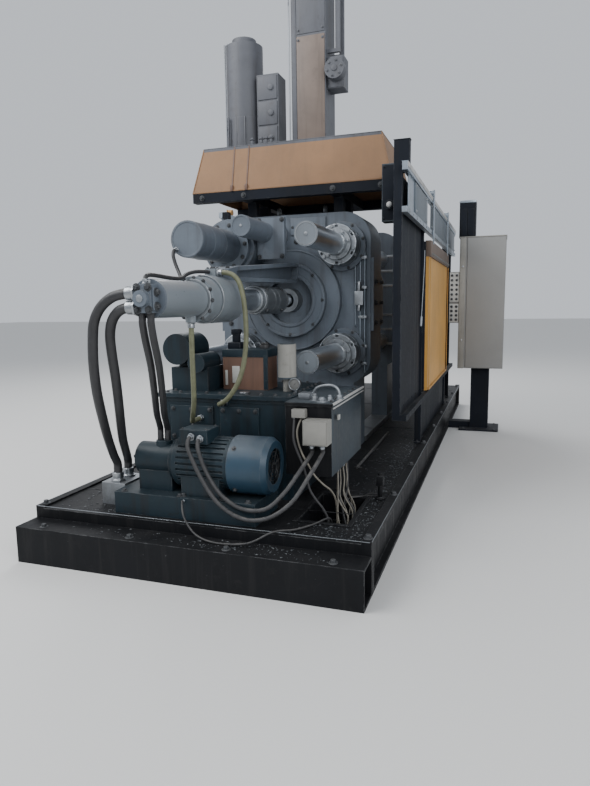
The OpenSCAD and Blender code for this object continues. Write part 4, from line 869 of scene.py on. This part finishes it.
    def toggle(self):
        """Keepers at the ends of the toggle's pins, and the fixings of the closing cylinder."""
        keepers = self.new("pin_keepers", "dark_steel")
        (first, last), y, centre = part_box("toggle_pins"), high("toggle_pins").y, middle("toggle_pins").x
        for x, rise in ((first[0] + 0.045, 0.33), (centre, 0.22), (last[0] - 0.045, 0.33)):
            for up in (-1, 1):
                for side in (-1, 1):
                    place = Vector((x, side * y, AXIS + up * rise))
                    keepers.rod(place, place + side * 0.010 * Y, 0.060)
                    keepers.bolt_circle(place + side * 0.010 * Y, side * Y, 0.036, 3, 0.020)
        cylinder = self.new("closing_fixings", "bolt_dark")
        start, end = high("end_platen").x, high("closing_cylinder").x
        cylinder.bolt_circle((start + 0.06, 0, AXIS), X, 0.215, 12, 0.034)
        cylinder.bolt_circle((end, 0, AXIS), X, 0.175, 10, 0.036)
        cylinder.collar(start + 0.20, start + 0.26, 0.212, 0.188, 0.003)
        cylinder.plug(end, end + 0.022, 0.075)


class MACHINE_OT_injection(Step, bpy.types.Operator):
    """Adds flanges, fittings, straps and screws to the injection end"""
    bl_idname = "machine.injection"
    bl_label = "Injection end"

    def build(self):
        bright, screws = self.new("bright_rings", "gauge_steel"), self.new("injection_bolts", "bolt_dark")
        dark, cover = self.new("dark_rings", "dark_steel"), self.new("injection_covers", "platen_blue")
        self.cap(bright, screws, dark, cover)
        self.barrel(bright, screws, dark)
        self.drum_and_core(screws, dark, cover)
        # bolts on the arm's pad, whose face steps up by a washer
        arm = low("cylinder_arm").x
        bolts = self.new("arm_bolts", "bolt_dark")
        for x, rise in ((arm + 0.05, 0.1965), (arm + 0.13, 0.1980)):
            bolts.bolts(x, (-0.055, 0.055), AXIS + rise, Z, 0.024)
        self.coupling()

    def cap(self, bright, screws, dark, cover):
        """Four tie studs, a side plate with plugs, and a bleed fitting on top."""
        face = low("cylinder_cap").x + 0.03
        screws.bolts(face, (-0.034, 0.034), (AXIS - 0.058, AXIS + 0.058), -X, 0.024)
        cover.collar(face - 0.004, face + 0.001, 0.047, 0.041)
        dark.plug(face - 0.034, face - 0.029, 0.020)
        cover.box((face + 0.008, -0.062, AXIS - 0.062), (face + 0.060, -0.050, AXIS + 0.055))
        screws.bolts(face + 0.034, -0.062, (AXIS - 0.040, AXIS + 0.032), -Y, 0.026)
        bright.stud(face + 0.020, -0.028, AXIS + 0.074, 0.022, 0.011)
        bright.plug(face + 0.020, face - 0.004, 0.006, -0.028, AXIS + 0.090)
        for z in (AXIS + 0.030, AXIS - 0.045):
            cover.rod((face + 0.030, 0.048, z), (face + 0.030, 0.062, z), 0.040)

    def barrel(self, bright, screws, dark):
        """Seams, the collar's screws and the bright edges of the head."""
        start, head = low("shot_cylinder").x, high("shot_cylinder").x
        step, ring = start + 0.48, start + 0.60
        dark.collar(start + 0.012, start + 0.018, 0.1045, 0.100)
        dark.collar(step - 0.010, step + 0.001, 0.122, 0.103, 0.003)
        screws.bolt_circle((step, 0, AXIS), -X, 0.127, 12, 0.014, 0.2)
        bright.collar(ring - 0.004, ring + 0.003, 0.1505, 0.1415, 0.002)
        for x in (ring + 0.10, ring + 0.215):
            dark.collar(x - 0.003, x + 0.003, 0.1508, 0.147)
        bright.collar(head - 0.006, head + 0.003, 0.1508, 0.140, 0.002)
        screws.bolt_circle((head, 0, AXIS), X, 0.118, 10, 0.022, 0.3)
        dark.collar(head, head + 0.014, 0.100, 0.0785, 0.003)
        screws.bolts((ring + 0.128, ring + 0.172), (-0.022, 0.022), high("shot_cylinder").z, Z, 0.014)

    def drum_and_core(self, screws, dark, cover):
        y, z = BARS[-1]
        nose, drum = low("bar_puller").x, high("bar_puller").x - 0.40
        for x in (drum + 0.070, drum + 0.330):
            dark.collar(x - 0.003, x + 0.003, 0.2312, 0.227, 0.001, y, z)
        screws.bolt_circle((drum, y, z), -X, 0.176, 10, 0.020, 0.26)
        cover.collar(nose - 0.003, nose + 0.001, 0.132, 0.118, 0.002, y, z)
        cover.collar(nose + 0.20, nose + 0.225, 0.1375, 0.133, 0.003, y, z)
        dark.collar(nose + 0.40, nose + 0.406, 0.1360, 0.132, 0.001, y, z)
        # the nose line's clamp
        cover.box((nose - 0.002, 0.515, z - 0.100), (nose + 0.020, 0.565, z - 0.055))
        # small cylinder: end plate with a plug, bands and the screws of its bracket
        core, y, z = low("core_cylinder").x, 0.15, 2.215
        cover.collar(core - 0.003, core + 0.001, 0.080, 0.068, 0.001, y, z)
        dark.plug(core - 0.003, core, 0.011, y, z, 0.001)
        screws.bolts(core + 0.48, (-0.010, 0.192), (2.015, 2.312), -X, 0.022)
        for x in (core + 0.05, core + 0.42):
            cover.collar(x - 0.016, x + 0.016, 0.0835, 0.080, 0.002, y, z)

    def coupling(self):
        """Turned bands and clamping screws of the coupling between the two rods."""
        x0, x1 = low("plunger_coupling").x, high("plunger_coupling").x
        bands = self.new("coupling_bands", "gauge_steel", "plunger")
        screws = self.new("coupling_screws", "bolt_dark", "plunger")
        for x in (x0 + 0.062, x0 + 0.235, x0 + 0.325, x1 - 0.062):
            bands.collar(x - 0.004, x + 0.004, 0.1092, 0.104)
        bands.collar(x0 - 0.004, x0 + 0.001, 0.090, 0.0775, 0.002)
        bands.collar(x0 + 0.036, x0 + 0.041, 0.107, 0.095, 0.002)
        for x in (x0 + 0.12, x1 - 0.12):
            for out in circle(X, 1, 4, math.pi / 4, Y):
                screws.hex_bolt(Vector((x, 0, AXIS)) + 0.1065 * out, out, 0.026, 0.012, False)


class MACHINE_OT_hood(Step, bpy.types.Operator):
    """Adds straps, lips, fixings and the fittings on top to the fume hood"""
    bl_idname = "machine.hood"
    bl_label = "Fume hood"

    def build(self):
        a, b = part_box("fume_hood")
        lean = 0.060
        half, top = b.y, b.y - 0.095
        # two thin dark straps on the near and far faces, which follow their slope
        straps = self.new("hood_straps", "box_brown")
        fold = self.new("hood_folds", "hood_orange")
        soot = self.new("hood_top_trim", "column_grey")
        for x, inward in ((a.x, lean), (b.x, -lean)):
            for y in (0.508, 0.372):
                straps.prism([(-0.006, -0.004), (0.006, -0.004), (0.006, 0.004), (-0.006, 0.004)],
                             (x, y, a.z + 0.004), (x + inward, y - 0.012, b.z - 0.004), Y, X)
                straps.block(x, y, a.z, 0.012, 0.012, 0.05, 0.003)
            # folded edges
            fold.block(x, 0, a.z, 0.004, half, 0.016, 0.003)
            for side in (-1, 1):
                fold.prism([(-0.004, -0.004), (0.005, -0.004), (0.005, 0.004), (-0.004, 0.004)],
                           (x, side * half, a.z), (x + inward, side * top, b.z), X, Y)
            # dark soot along the top edge
            edge = x + inward * 0.96
            soot.prism([(-0.0015, -0.016), (0.0015, -0.016), (0.0015, 0.016), (-0.0015, 0.016)],
                       (edge, -top, b.z - 0.016), (edge, top, b.z - 0.016), X, Z)
        for side in (-1, 1):
            fold.box((a.x, side * half - 0.004, a.z), (b.x, side * half + 0.004, a.z + 0.016), 0.003)
        soot.box((a.x + lean - 0.006, -top - 0.002, b.z - 0.003), (b.x - lean + 0.006, top + 0.002, b.z + 0.003), 0.002)
        # fixings of the beams, and small fittings on the top near the valves
        self.new("beam_bolts", "bolt_dark").bolts(a.x, (-0.80, -0.40, 0.40, 0.80), a.z - 0.04, -X, 0.026)
        fittings = self.new("hood_fittings", "column_grey")
        for y in (0.335, 0.250, 0.205, 0.16):
            fittings.stud(a.x + lean * 1.2, y, b.z, 0.040, 0.014)
            fittings.hex_bolt((a.x + lean * 1.2, y, b.z + 0.040), Z, 0.024)
        fittings.stud(-1.18, 0.075, b.z, 0.05, 0.038)
        fittings.stud(-1.18, 0.02, b.z, 0.03, 0.026)


class MACHINE_OT_spray(Step, bpy.types.Operator):
    """Adds panels, pipes, seams and lines to the spray column and the bottle"""
    bl_idname = "machine.spray"
    bl_label = "Spray unit"

    def build(self):
        x0, y1 = low("spray_column").x, high("spray_column").y
        y0, base = y1 - 0.31, low("spray_column").z
        panel, plate = self.new("column_panel", "panel_brown"), self.new("column_plates", "column_grey")
        screws, pipes = self.new("column_bolts", "column_grey"), self.new("bottle_lines", "pipe_light")
        panel.box((x0 - 0.006, y0 + 0.008, base + 0.02), (x0 + 0.002, y1 - 0.05, base + 0.92), 0.003)
        plate.box((x0 - 0.004, y1 - 0.046, base), (x0 + 0.002, y1 - 0.002, base + 1.395), 0.002)
        plate.box((x0 - 0.005, y0 + 0.008, base + 0.94), (x0 + 0.002, y1 - 0.05, base + 1.39), 0.003)
        plate.box((x0 - 0.012, y0 - 0.012, base), (x0 + 0.312, y1 + 0.012, base + 0.018), 0.003)
        da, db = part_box("spray_drive")
        plate.box((da.x + 0.094, da.y + 0.032, da.z + 0.006), (da.x + 0.100, y0 - 0.006, db.z - 0.006), 0.003)
        screws.bolts(x0 - 0.006, (y0 + 0.024, y1 - 0.066), (base + 0.05, base + 0.89, base + 0.97, base + 1.36),
                     -X, 0.013)
        dy, dz = da.y + 0.085, (da.z + db.z) / 2
        screws.bolt_circle((da.x, dy, dz), -X, 0.062, 6, 0.014)
        screws.plug(da.x - 0.006, da.x, 0.026, dy, dz)
        # rim of the bottle's neck and of its lower, darker part
        bx, by, bz = middle("pressure_bottle").x, middle("pressure_bottle").y, low("pressure_bottle").z
        screws.ring((bx, by, bz + 0.985), (bx, by, bz + 1.025), 0.1125, 0.104)
        screws.ring((bx, by, bz), (bx, by, bz + 0.012), 0.180, 0.168)
        bottom = self.new("bottle_foot", "column_grey")
        bottom.ring((bx, by, bz + 0.008), (bx, by, bz + 0.33), 0.1712, 0.169, 0.001)
        for share in (-0.34, 0.15, 0.62):
            bottom.block(bx - 0.161, by + share * 0.17, bz + 0.01, 0.011, 0.006, 0.32)
        # light pipes: left of the bottle, between bottle and valves, and by the column
        for x, y, tall, radius in ((bx - 0.05, by + 0.176, 0.975, 0.0085), (bx - 0.125, by - 0.183, 0.66, 0.006),
                                   (x0 - 0.012, y1 + 0.016, 1.18, 0.007)):
            pipes.tube([(x, y, bz + rise) for rise in (0, 0.05, tall - 0.05, tall)], radius, 10, 3)
            pipes.stud(x, y, bz, 0.022, radius * 2.2)
        pipes.tube([(bx - 0.05, by + 0.176, bz + 0.97), (bx - 0.05, by + 0.170, bz + 0.995),
                    (bx - 0.045, by + 0.140, bz + 1.008), (bx - 0.03, by + 0.10, bz + 1.008)], 0.0085, 10, 5)
        valve = self.new("valve_covers", "column_grey")
        va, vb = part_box("valve_box")
        for z in (va.z + 0.02, va.z + 0.235, va.z + 0.45):
            valve.box((va.x - 0.008, va.y + 0.012, z), (va.x, vb.y - 0.012, z + 0.20), 0.003)
            valve.plug(va.x - 0.020, va.x - 0.008, 0.026, va.y + 0.07, z + 0.1)


class MACHINE_OT_guards(Step, bpy.types.Operator):
    """Adds header covers, frames, fixings and the lamp to the guards and the door"""
    bl_idname = "machine.guards"
    bl_label = "Guards and door"

    def build(self):
        near_start, rail_end, rail = low("guard_rails").x, high("guard_rails").x, high("guard_rails").y
        far_start = low("rear_guard").x - 0.06
        screws, covers = self.new("rail_bolts", "gauge_steel"), self.new("header_covers", "plate_blue")
        edges, posts = self.new("rail_edges", "rail_pale"), self.new("post_feet", "guard_navy")
        for side, start, first_post, door in ((-1, near_start, -0.75, low("sliding_door").x),
                                              (1, far_start, far_start, low("rear_door").x)):
            for k in range(int((rail_end - start - 0.1) / 0.195)):
                # the hangers pass over these low heads
                head = Vector((start + 0.12 + k * 0.195, side * rail, 2.265))
                screws.rod(head, head + side * 0.0035 * Y, 0.009 if k % 2 else 0.014, 0.0015, 16)
            # light covers between the two rails
            for xa, xb in ((-1.62, -0.90), (-0.54, 1.02), (1.30, 2.20)):
                xa = max(xa, start + 0.05)
                if xa < xb:
                    covers.box((xa, side * (rail - 0.018), 2.292), (xb, side * (rail - 0.006), 2.526))
                    screws.bolts((xa + 0.03, xb - 0.03), side * (rail - 0.006), (2.315, 2.503), side * Y, 0.014)
            # a pale strip along the upper rail as a painted highlight, and the feet of the posts
            edges.box((start + 0.01, side * (rail - 0.002), 2.552), (rail_end - 0.01, side * (rail + 0.003), 2.588),
                      0.002)
            for x in (first_post, 1.62, 2.23):
                for foot in (x - 0.022, x + 0.082):
                    posts.block(foot, side * 1.029, DECK, 0.018, 0.03, 0.012)
                    posts.hex_bolt((foot, side * 1.029, DECK + 0.012), Z, 0.020)
            # a lip between the post and the door
            posts.box((door - 0.032, side * 1.078, 0.80), (door - 0.022, side * 1.028, 2.17), 0.002)
        posts.block(-1.97, -1.055, high("guard_posts").z - 0.004, 0.034, 0.060, 0.004)
        panel = self.new("panel_rivets", "guard_navy")
        for z in (0.81, 2.46):
            for k in range(6):
                panel.rod((-1.90 + k * 0.22, -1.043, z), (-1.90 + k * 0.22, -1.038, z), 0.008, 0.002, 12)
        # thin pale rod that leans on the near post
        rod = self.new("leaning_rod", "pipe_light")
        rod.tube([(-0.715, -1.068, 2.09), (-0.73, -1.068, 1.95), (-0.79, -1.064, 1.66), (-0.85, -1.062, 1.46)],
                 0.004, 10, 3)
        rod.tube([(-0.845, -1.063, 1.49), (-0.872, -1.062, 1.405)], 0.010, 12, 1)
        self.door()
        self.lamp()

    def door(self):
        a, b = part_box("sliding_door")
        trim = self.new("door_trim", "door_orange", "door")
        for xa, za, xb, zb in ((a.x + 0.004, a.z + 0.004, b.x - 0.004, a.z + 0.020),
                               (a.x + 0.004, a.z + 0.02, a.x + 0.020, b.z - 0.150),
                               (b.x - 0.020, a.z + 0.02, b.x - 0.004, b.z - 0.150)):
            trim.box((xa, a.y - 0.005, za), (xb, a.y + 0.002, zb), 0.003)
        # folded brown top with its pale fixings
        top = self.new("door_top", "top_brown", "door")
        top.box((a.x - 0.003, a.y - 0.006, b.z - 0.145), (b.x - 0.003, b.y + 0.002, b.z + 0.001))
        spots = [a.x + 0.08 + k * (b.x - a.x - 0.16) / 11 for k in range(12)]
        self.new("door_bolts", "panel_grey", "door").bolts(spots, a.y - 0.006, b.z - 0.120, -Y, 0.018)

    def lamp(self):
        x, y, z = low("lamp_box").x, -0.9125, 2.362
        lens = self.new("lamp_lens", "lens")
        lens.lathe([(0, 0), (0, 0.020), (0.006, 0.023), (0.014, 0.020), (0.020, 0.012), (0.022, 0)],
                   (x - 0.002, y, z), -X, 28)
        rim = self.new("lamp_rim", "guard_navy")
        rim.collar(x - 0.008, x + 0.002, 0.036, 0.023, 0.003, y, z)
        rim.box((x + 0.016, y - 0.058, 2.25), (x + 0.022, y + 0.058, 2.66), 0.003)
        rim.bolts(x + 0.016, (y - 0.048, y + 0.048), (2.262, 2.648), -X, 0.010)


class MACHINE_OT_hydraulics(Step, bpy.types.Operator):
    """Adds covers, fittings, pipes, dials and windows to the tank, motor, pump and boxes"""
    bl_idname = "machine.hydraulics"
    bl_label = "Hydraulic unit"

    def build(self):
        (x0, y0, _), (x1, y1, top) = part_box("oil_tank")
        lid = high("tank_lid").z
        screws, plates = self.new("tank_bolts", "bolt_dark"), self.new("tank_covers", "tank_teal")
        row = [y0 + 0.03 + k * (y1 - y0 - 0.06) / 9 for k in range(10)]
        screws.bolts((x0 + 0.022, x1 - 0.022), row, lid, Z, 0.018)
        screws.bolts([x0 + 0.022 + k * 0.1 for k in range(1, 7)], y0 + 0.03, lid, Z, 0.018)
        screws.bolts((x0 + 0.1, x0 + 0.375, x0 + 0.65), y1 - 0.05, lid, Z, 0.022)
        # two access covers on the near face
        for ya, yb in ((y0 + 0.24, y0 + 0.53), (y0 + 0.58, y1 - 0.06)):
            plates.box((x0 - 0.010, ya, top - 0.30), (x0, yb, top - 0.055))
            screws.bolts(x0 - 0.010, (ya + 0.025, (ya + yb) / 2, yb - 0.025), (top - 0.275, top - 0.08), -X, 0.018)
        plates.box((x0 - 0.006, y0 + 0.01, top - 0.028), (x0, y1 - 0.01, top - 0.004), 0.002)
        self.motor_and_pump()
        self.on_the_lid(lid)
        self.lubricator_and_gauge()
        self.side_boxes()

    def motor_and_pump(self):
        cowl, base = middle("motor_cowl"), high("motor_base").z
        axis = Vector((cowl.x, 0, cowl.z))
        near, far = low("motor_cowl").y, low("oil_pump").y
        grille, bolts = self.new("fan_grille", "base_black"), self.new("motor_bolts", "bolt_dark")
        for radius in (0.035, 0.062, 0.089, 0.116, 0.143):
            grille.ring(axis + (near + 0.010) * Y, axis + (near + 0.016) * Y, radius + 0.003, radius - 0.003, 0.001, 36)
        hub = axis + (near + 0.013) * Y
        for out in circle(-Y, 1, 8, 0.2, X):
            grille.tube([hub + 0.012 * out, hub + 0.155 * out], 0.003, 6, 1)
        grille.rod(axis + (near + 0.008) * Y, axis + (near + 0.018) * Y, 0.018)
        for out in circle(-Y, 1, 4, math.pi / 4, X):
            bolts.hex_bolt(axis + (high("motor_cowl").y - 0.035) * Y + 0.179 * out, out, 0.018)
            bolts.hex_bolt(axis + far * Y + 0.118 * out, -Y, 0.024)
        bolts.bolt_circle(axis + high("oil_pump").y * Y, Y, 0.080, 6, 0.022)
        bolts.bolts((cowl.x - 0.15, cowl.x + 0.15), (-0.19, 0.08), base, Z, 0.026)
        bolts.bolts((cowl.x - 0.165, cowl.x + 0.165), (-0.36, 0.10, 0.50), base, Z, 0.022)
        bolts.bolts((-3.23, -3.10), (-0.08, 0.08), 0.86, Z, 0.012)
        self.new("terminal_lid", "tank_teal").box((-3.252, -0.093, 0.852), (-3.078, 0.093, 0.862), 0.003)
        glands = self.new("cable_glands", "gauge_steel")
        for y, z in ((0.010, 0.820), (-0.050, 0.810)):
            glands.plug(-3.262, -3.25, 0.024, y, z)

    def on_the_lid(self, lid):
        """Breather, sight glass, valve and the filter's head."""
        fittings = self.new("lid_fittings", "gauge_steel")
        fittings.lathe([(0, 0), (0, 0.040), (0.012, 0.044), (0.030, 0.044), (0.036, 0.030), (0.060, 0.030),
                        (0.064, 0.052), (0.110, 0.052), (0.118, 0.044), (0.118, 0)], (-2.16, 0.30, lid), Z, 32)
        fittings.stud(-2.680, -0.100, lid, 0.012, 0.036)
        valve = self.new("lid_valve", "guard_navy")
        valve.block(-2.39, 0.08, 1.296, 0.05, 0.05, 0.049, 0.006)
        valve.stud(-2.39, 0.08, 1.345, 0.085, 0.030)
        valve.stud(-2.39, 0.08, 1.405, 0.035, 0.038)
        x, y, top = -2.5, -0.35, high("oil_filter").z
        head = self.new("filter_head", "side_grey")
        head.stud(x, y, top - 0.004, 0.010, 0.052)
        head.ring((x, y, 1.100), (x, y, 1.112), 0.068, 0.063)
        head.stud(x + 0.02, y, lid, 1.112 - lid, 0.030)

    def lubricator_and_gauge(self):
        a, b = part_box("lubricator")
        windows, cover = self.new("lubricator_windows", "plate_white"), self.new("lubricator_lid", "tank_teal")
        windows.box((a.x - 0.006, 0.010, 1.058), (a.x, 0.069, 1.180))
        windows.box((a.x - 0.006, 0.105, 1.041), (a.x, 0.125, 1.150))
        cover.box((a.x - 0.004, a.y - 0.004, b.z - 0.052), (b.x + 0.004, b.y + 0.004, b.z + 0.004))
        cover.box((a.x - 0.004, a.y - 0.004, a.z + 0.004), (a.x + 0.010, a.y + 0.028, b.z - 0.040), 0.003)
        neck = self.new("lubricator_cap", "hose_black")
        neck.stud(-2.36, -0.13, 1.285, 0.040, 0.034)
        neck.stud(-2.36, -0.13, 1.325, 0.015, 0.028)
        # the gauge's dial with thirteen marks and a hand, seen from the injection end
        x, y, z = -2.58, -0.43, 1.07
        self.new("gauge_dial", "panel_grey").plug(x - 0.001, x + 0.002, 0.036, y, z, 0.0005)
        self.new("gauge_rim", "gauge_steel").collar(x - 0.006, x + 0.004, 0.043, 0.036, 0.003, y, z)
        marks = self.new("gauge_marks", "hose_black")
        for k in range(13):
            out, side = circle(X, 1, 4, math.radians(-45 + k * 22.5), Y)[:2]
            place = Vector((x - 0.0012, y, z)) + 0.026 * out
            marks.prism([(0, 0), (1, 0), (1, 1), (0, 1)], place, place - 0.0005 * X, 0.008 * out, 0.0007 * side)
        out, side = circle(X, 1, 4, 2.4, Y)[:2]
        marks.prism([(-0.2, -1), (1, -0.3), (1, 0.3), (-0.2, 1)], (x - 0.0014, y, z), (x - 0.0022, y, z),
                    0.026 * out, 0.0012 * side)

    def side_boxes(self):
        a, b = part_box("side_box")
        lid, fittings = self.new("side_box_lid", "rail_pale"), self.new("box_fittings", "dark_steel")
        lid.box((a.x + 0.006, a.y - 0.008, b.z - 0.012), (b.x + 0.004, a.y + 0.004, b.z + 0.003), 0.003)
        lid.box((a.x + 0.006, a.y - 0.004, b.z - 0.036), (b.x + 0.004, a.y + 0.002, b.z - 0.026), 0.002)
        spots = [a.x + 0.07 + k * 0.118 for k in range(7)]
        self.new("side_box_bolts", "bolt_dark").bolts(spots, a.y + 0.03, b.z, Z, 0.016)
        switch = self.new("side_box_switch", "plate_white")
        switch.box((-2.805, a.y - 0.010, 0.879), (-2.765, a.y + 0.002, 0.912), 0.003)
        ja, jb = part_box("junction_box")
        cream = self.new("junction_cover", "box_cream")
        cream.box((ja.x - 0.006, ja.y + 0.004, ja.z + 0.006), (ja.x, jb.y - 0.004, jb.z - 0.006), 0.003)
        cream.box((-2.950, -0.622, 0.908), (-2.898, -0.533, 0.962), 0.003)
        for y in (-0.735, -0.665):
            fittings.stud(-2.957, y, ja.z - 0.014, 0.014, 0.024)
        # lumpy valves and a bent pipe on the lid
        for x, y, radius, tall in ((-2.84, -0.70, 0.026, 0.030), (-2.80, -0.64, 0.020, 0.046),
                                   (-2.78, -0.735, 0.018, 0.036)):
            fittings.hex_bolt((x, y, b.z), Z, 1.7 * radius, 0.5 * tall)
            fittings.stud(x, y, b.z + 0.4 * tall, 0.6 * tall, 0.7 * radius)
        fittings.box((-2.775, -0.60, b.z), (-2.69, -0.52, b.z + 0.040), 0.006)
        bend = ((-0.60, 0), (-0.605, 0.035), (-0.625, 0.065), (-0.660, 0.080), (-0.700, 0.086), (-0.735, 0.084),
                (-0.762, 0.068), (-0.776, 0.040), (-0.778, 0))
        fittings.tube([(-2.70, y, b.z + rise) for y, rise in bend], 0.011, 12, 4)
        fittings.bolts(-2.70, (-0.60, -0.776), b.z, Z, 0.036)


class MACHINE_OT_wiring(Step, bpy.types.Operator):
    """Adds the thin wires that run into the pit, and the small valve and conduit on the deck"""
    bl_idname = "machine.wiring"
    bl_label = "Wiring"

    def build(self):
        chance = random.Random(21)
        bottom = low("side_box").z
        clamps = self.new("wire_glands", "gauge_steel")
        for k in range(10):
            x, y = -2.73 + 0.036 * k, -0.765 + 0.012 * chance.uniform(-1, 1)
            xe, ye = -2.96 + 0.036 * k + 0.03 * chance.uniform(-1, 1), -0.86 + 0.035 * chance.uniform(-1, 1)
            sway = [0.022 * chance.uniform(-1, 1) for _ in range(4)]
            points = [(x, y, bottom + 0.012), (x, y, bottom - 0.004), (x, y, bottom - 0.030),
                      (x - 0.035 + sway[0], y - 0.012, bottom - 0.100), (x - 0.100 + sway[1], y - 0.030, 0.355),
                      (xe + 0.045 + sway[2], ye + 0.020 + sway[3], 0.275), (xe + 0.010, ye + 0.004, 0.200),
                      (xe, ye, 0.160), (xe, ye, 0.122)]
            add_cord("pit_wire_%d" % (k + 1), ("wire_pale", "wire_pale", "cable_grey")[k % 3], points,
                     (0.004, 0.005, 0.006)[k % 3], None)
            clamps.stud(x, y, bottom - 0.006, 0.010, 0.010, 0.002, 16)
        valve = self.new("deck_valve", "base_black")
        x, y = -2.55, -1.02
        valve.stud(x, y, DECK, 0.014, 0.034)
        valve.stud(x, y, DECK, 0.120, 0.015)
        valve.block(x, y, DECK + 0.095, 0.025, 0.025, 0.070, 0.006)
        valve.stud(x, y, DECK + 0.160, 0.025, 0.018)
        for k, y in enumerate((-1.000, -0.998)):
            z, shift = DECK + 0.022 + 0.014 * k, 0.02 * k
            add_cord("valve_wire_%d" % (k + 1), "hose_black", [
                (x, y, z), (x, y + 0.020, z), (x - 0.001, y + 0.050, z - 0.002), (x - 0.005, y + 0.090, DECK + 0.014),
                (-2.565 - shift, -0.86, DECK + 0.010), (-2.59 - shift, -0.82, DECK + 0.006),
                (-2.62 - shift, -0.80, 0.27), (-2.64 - shift, -0.79, 0.20), (-2.645 - shift, -0.79, 0.122)],
                0.004, None)
        conduit, y = self.new("deck_conduit", "cable_grey"), -0.695
        conduit.tube([(x, y, DECK + 0.012) for x in (-1.84, -1.2, -0.42)], 0.012, 12, 2)
        for x in (-1.80, -1.15, -0.50):
            conduit.block(x, y, DECK, 0.012, 0.030, 0.006)
            conduit.collar(x - 0.010, x + 0.010, 0.0155, 0.0115, 0.001, y, DECK + 0.013, 24)


class MACHINE_OT_cabinet(Step, bpy.types.Operator):
    """Adds the door, its lip, the push buttons and covers to the control cabinet"""
    bl_idname = "machine.cabinet"
    bl_label = "Control cabinet"

    def build(self):
        a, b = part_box("control_cabinet")
        door, lip = self.new("cabinet_door", "cabinet_beige"), self.new("cabinet_lip", "box_cream")
        door.box((a.x - 0.014, a.y + 0.004, a.z + 0.006), (a.x, b.y - 0.092, b.z - 0.006), 0.006)
        lip.box((a.x - 0.022, b.y - 0.074, a.z - 0.002), (a.x, b.y - 0.004, b.z - 0.004), 0.005)
        lip.box((a.x - 0.010, a.y - 0.006, b.z - 0.004), (b.x + 0.006, b.y + 0.006, b.z + 0.010))
        locks = self.new("cabinet_locks", "gauge_steel")
        for z in (1.15, 2.05):
            locks.plug(a.x - 0.026, a.x - 0.020, 0.013, b.y - 0.040, z)
        # two pale plates with rows of push buttons, facing the injection end
        a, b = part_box("button_panel")
        plates, buttons = self.new("button_plates", "plate_white"), self.new("push_buttons", "hose_black")
        rings = self.new("button_rings", "dark_steel")
        x = a.x - 0.008
        for za, zb, rows, radius in ((1.625, 1.982, 6, 0.0125), (1.372, 1.600, 4, 0.014)):
            plates.box((x, a.y + 0.001, za), (a.x, b.y - 0.002, zb), 0.003)
            for row in range(rows):
                z = za + 0.034 + row * (zb - za - 0.068) / (rows - 1)
                for y in (a.y + 0.028, b.y - 0.030):
                    rings.collar(x, x - 0.004, radius + 0.005, radius, 0.001, y, z, 20)
                    buttons.plug(x, x - 0.013, radius, y, z, 0.003, 20)
        # the dark box on top, with two doors and a bright rim
        a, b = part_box("top_box")
        doors, rim = self.new("top_box_doors", "guard_navy"), self.new("top_box_rim", "rail_light")
        half = (a.y + b.y) / 2
        for ya, yb in ((a.y + 0.014, half - 0.005), (half + 0.005, b.y - 0.014)):
            doors.box((a.x - 0.008, ya, a.z + 0.02), (a.x, yb, b.z - 0.10), 0.003)
        rim.box((a.x - 0.006, a.y - 0.004, b.z - 0.030), (a.x + 0.004, b.y + 0.004, b.z), 0.003)
        a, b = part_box("cabinet_stand")
        stand = self.new("stand_bolts", "bolt_dark")
        stand.bolts((a.x + 0.03, b.x - 0.05), (a.y + 0.055, a.y + 0.425), 0.012, Z, 0.026)


OPERATORS = [MACHINE_OT_stage, MACHINE_OT_finishes, MACHINE_OT_hoses, MACHINE_OT_base, MACHINE_OT_platens,
             MACHINE_OT_injection, MACHINE_OT_hood, MACHINE_OT_spray, MACHINE_OT_guards, MACHINE_OT_hydraulics,
             MACHINE_OT_wiring, MACHINE_OT_cabinet]


class MACHINE_PT_panel(bpy.types.Panel):
    """Lists the steps that build the machine"""
    bl_idname = "MACHINE_PT_panel"
    bl_label = "Die casting machine"
    bl_space_type = "VIEW_3D"
    bl_region_type = "UI"
    bl_category = "Machine"

    def draw(self, context):
        layout = self.layout
        for owner in (context.scene.machine_sizes, context.scene.machine_colours):
            for key in owner.__annotations__:
                layout.prop(owner, key)
        for operator in OPERATORS:
            layout.operator(operator.bl_idname)


CLASSES = [MachineSizes, MachineColours, *OPERATORS, MACHINE_PT_panel]


def register():
    for item in CLASSES:
        bpy.utils.register_class(item)
    bpy.types.Scene.machine_sizes = bpy.props.PointerProperty(type=MachineSizes)
    bpy.types.Scene.machine_colours = bpy.props.PointerProperty(type=MachineColours)


def unregister():
    del bpy.types.Scene.machine_colours
    del bpy.types.Scene.machine_sizes
    for item in reversed(CLASSES):
        bpy.utils.unregister_class(item)


def main():
    register()
    for operator in OPERATORS:
        area, name = operator.bl_idname.split(".")
        getattr(getattr(bpy.ops, area), name)()


if __name__ == "__main__":
    main()
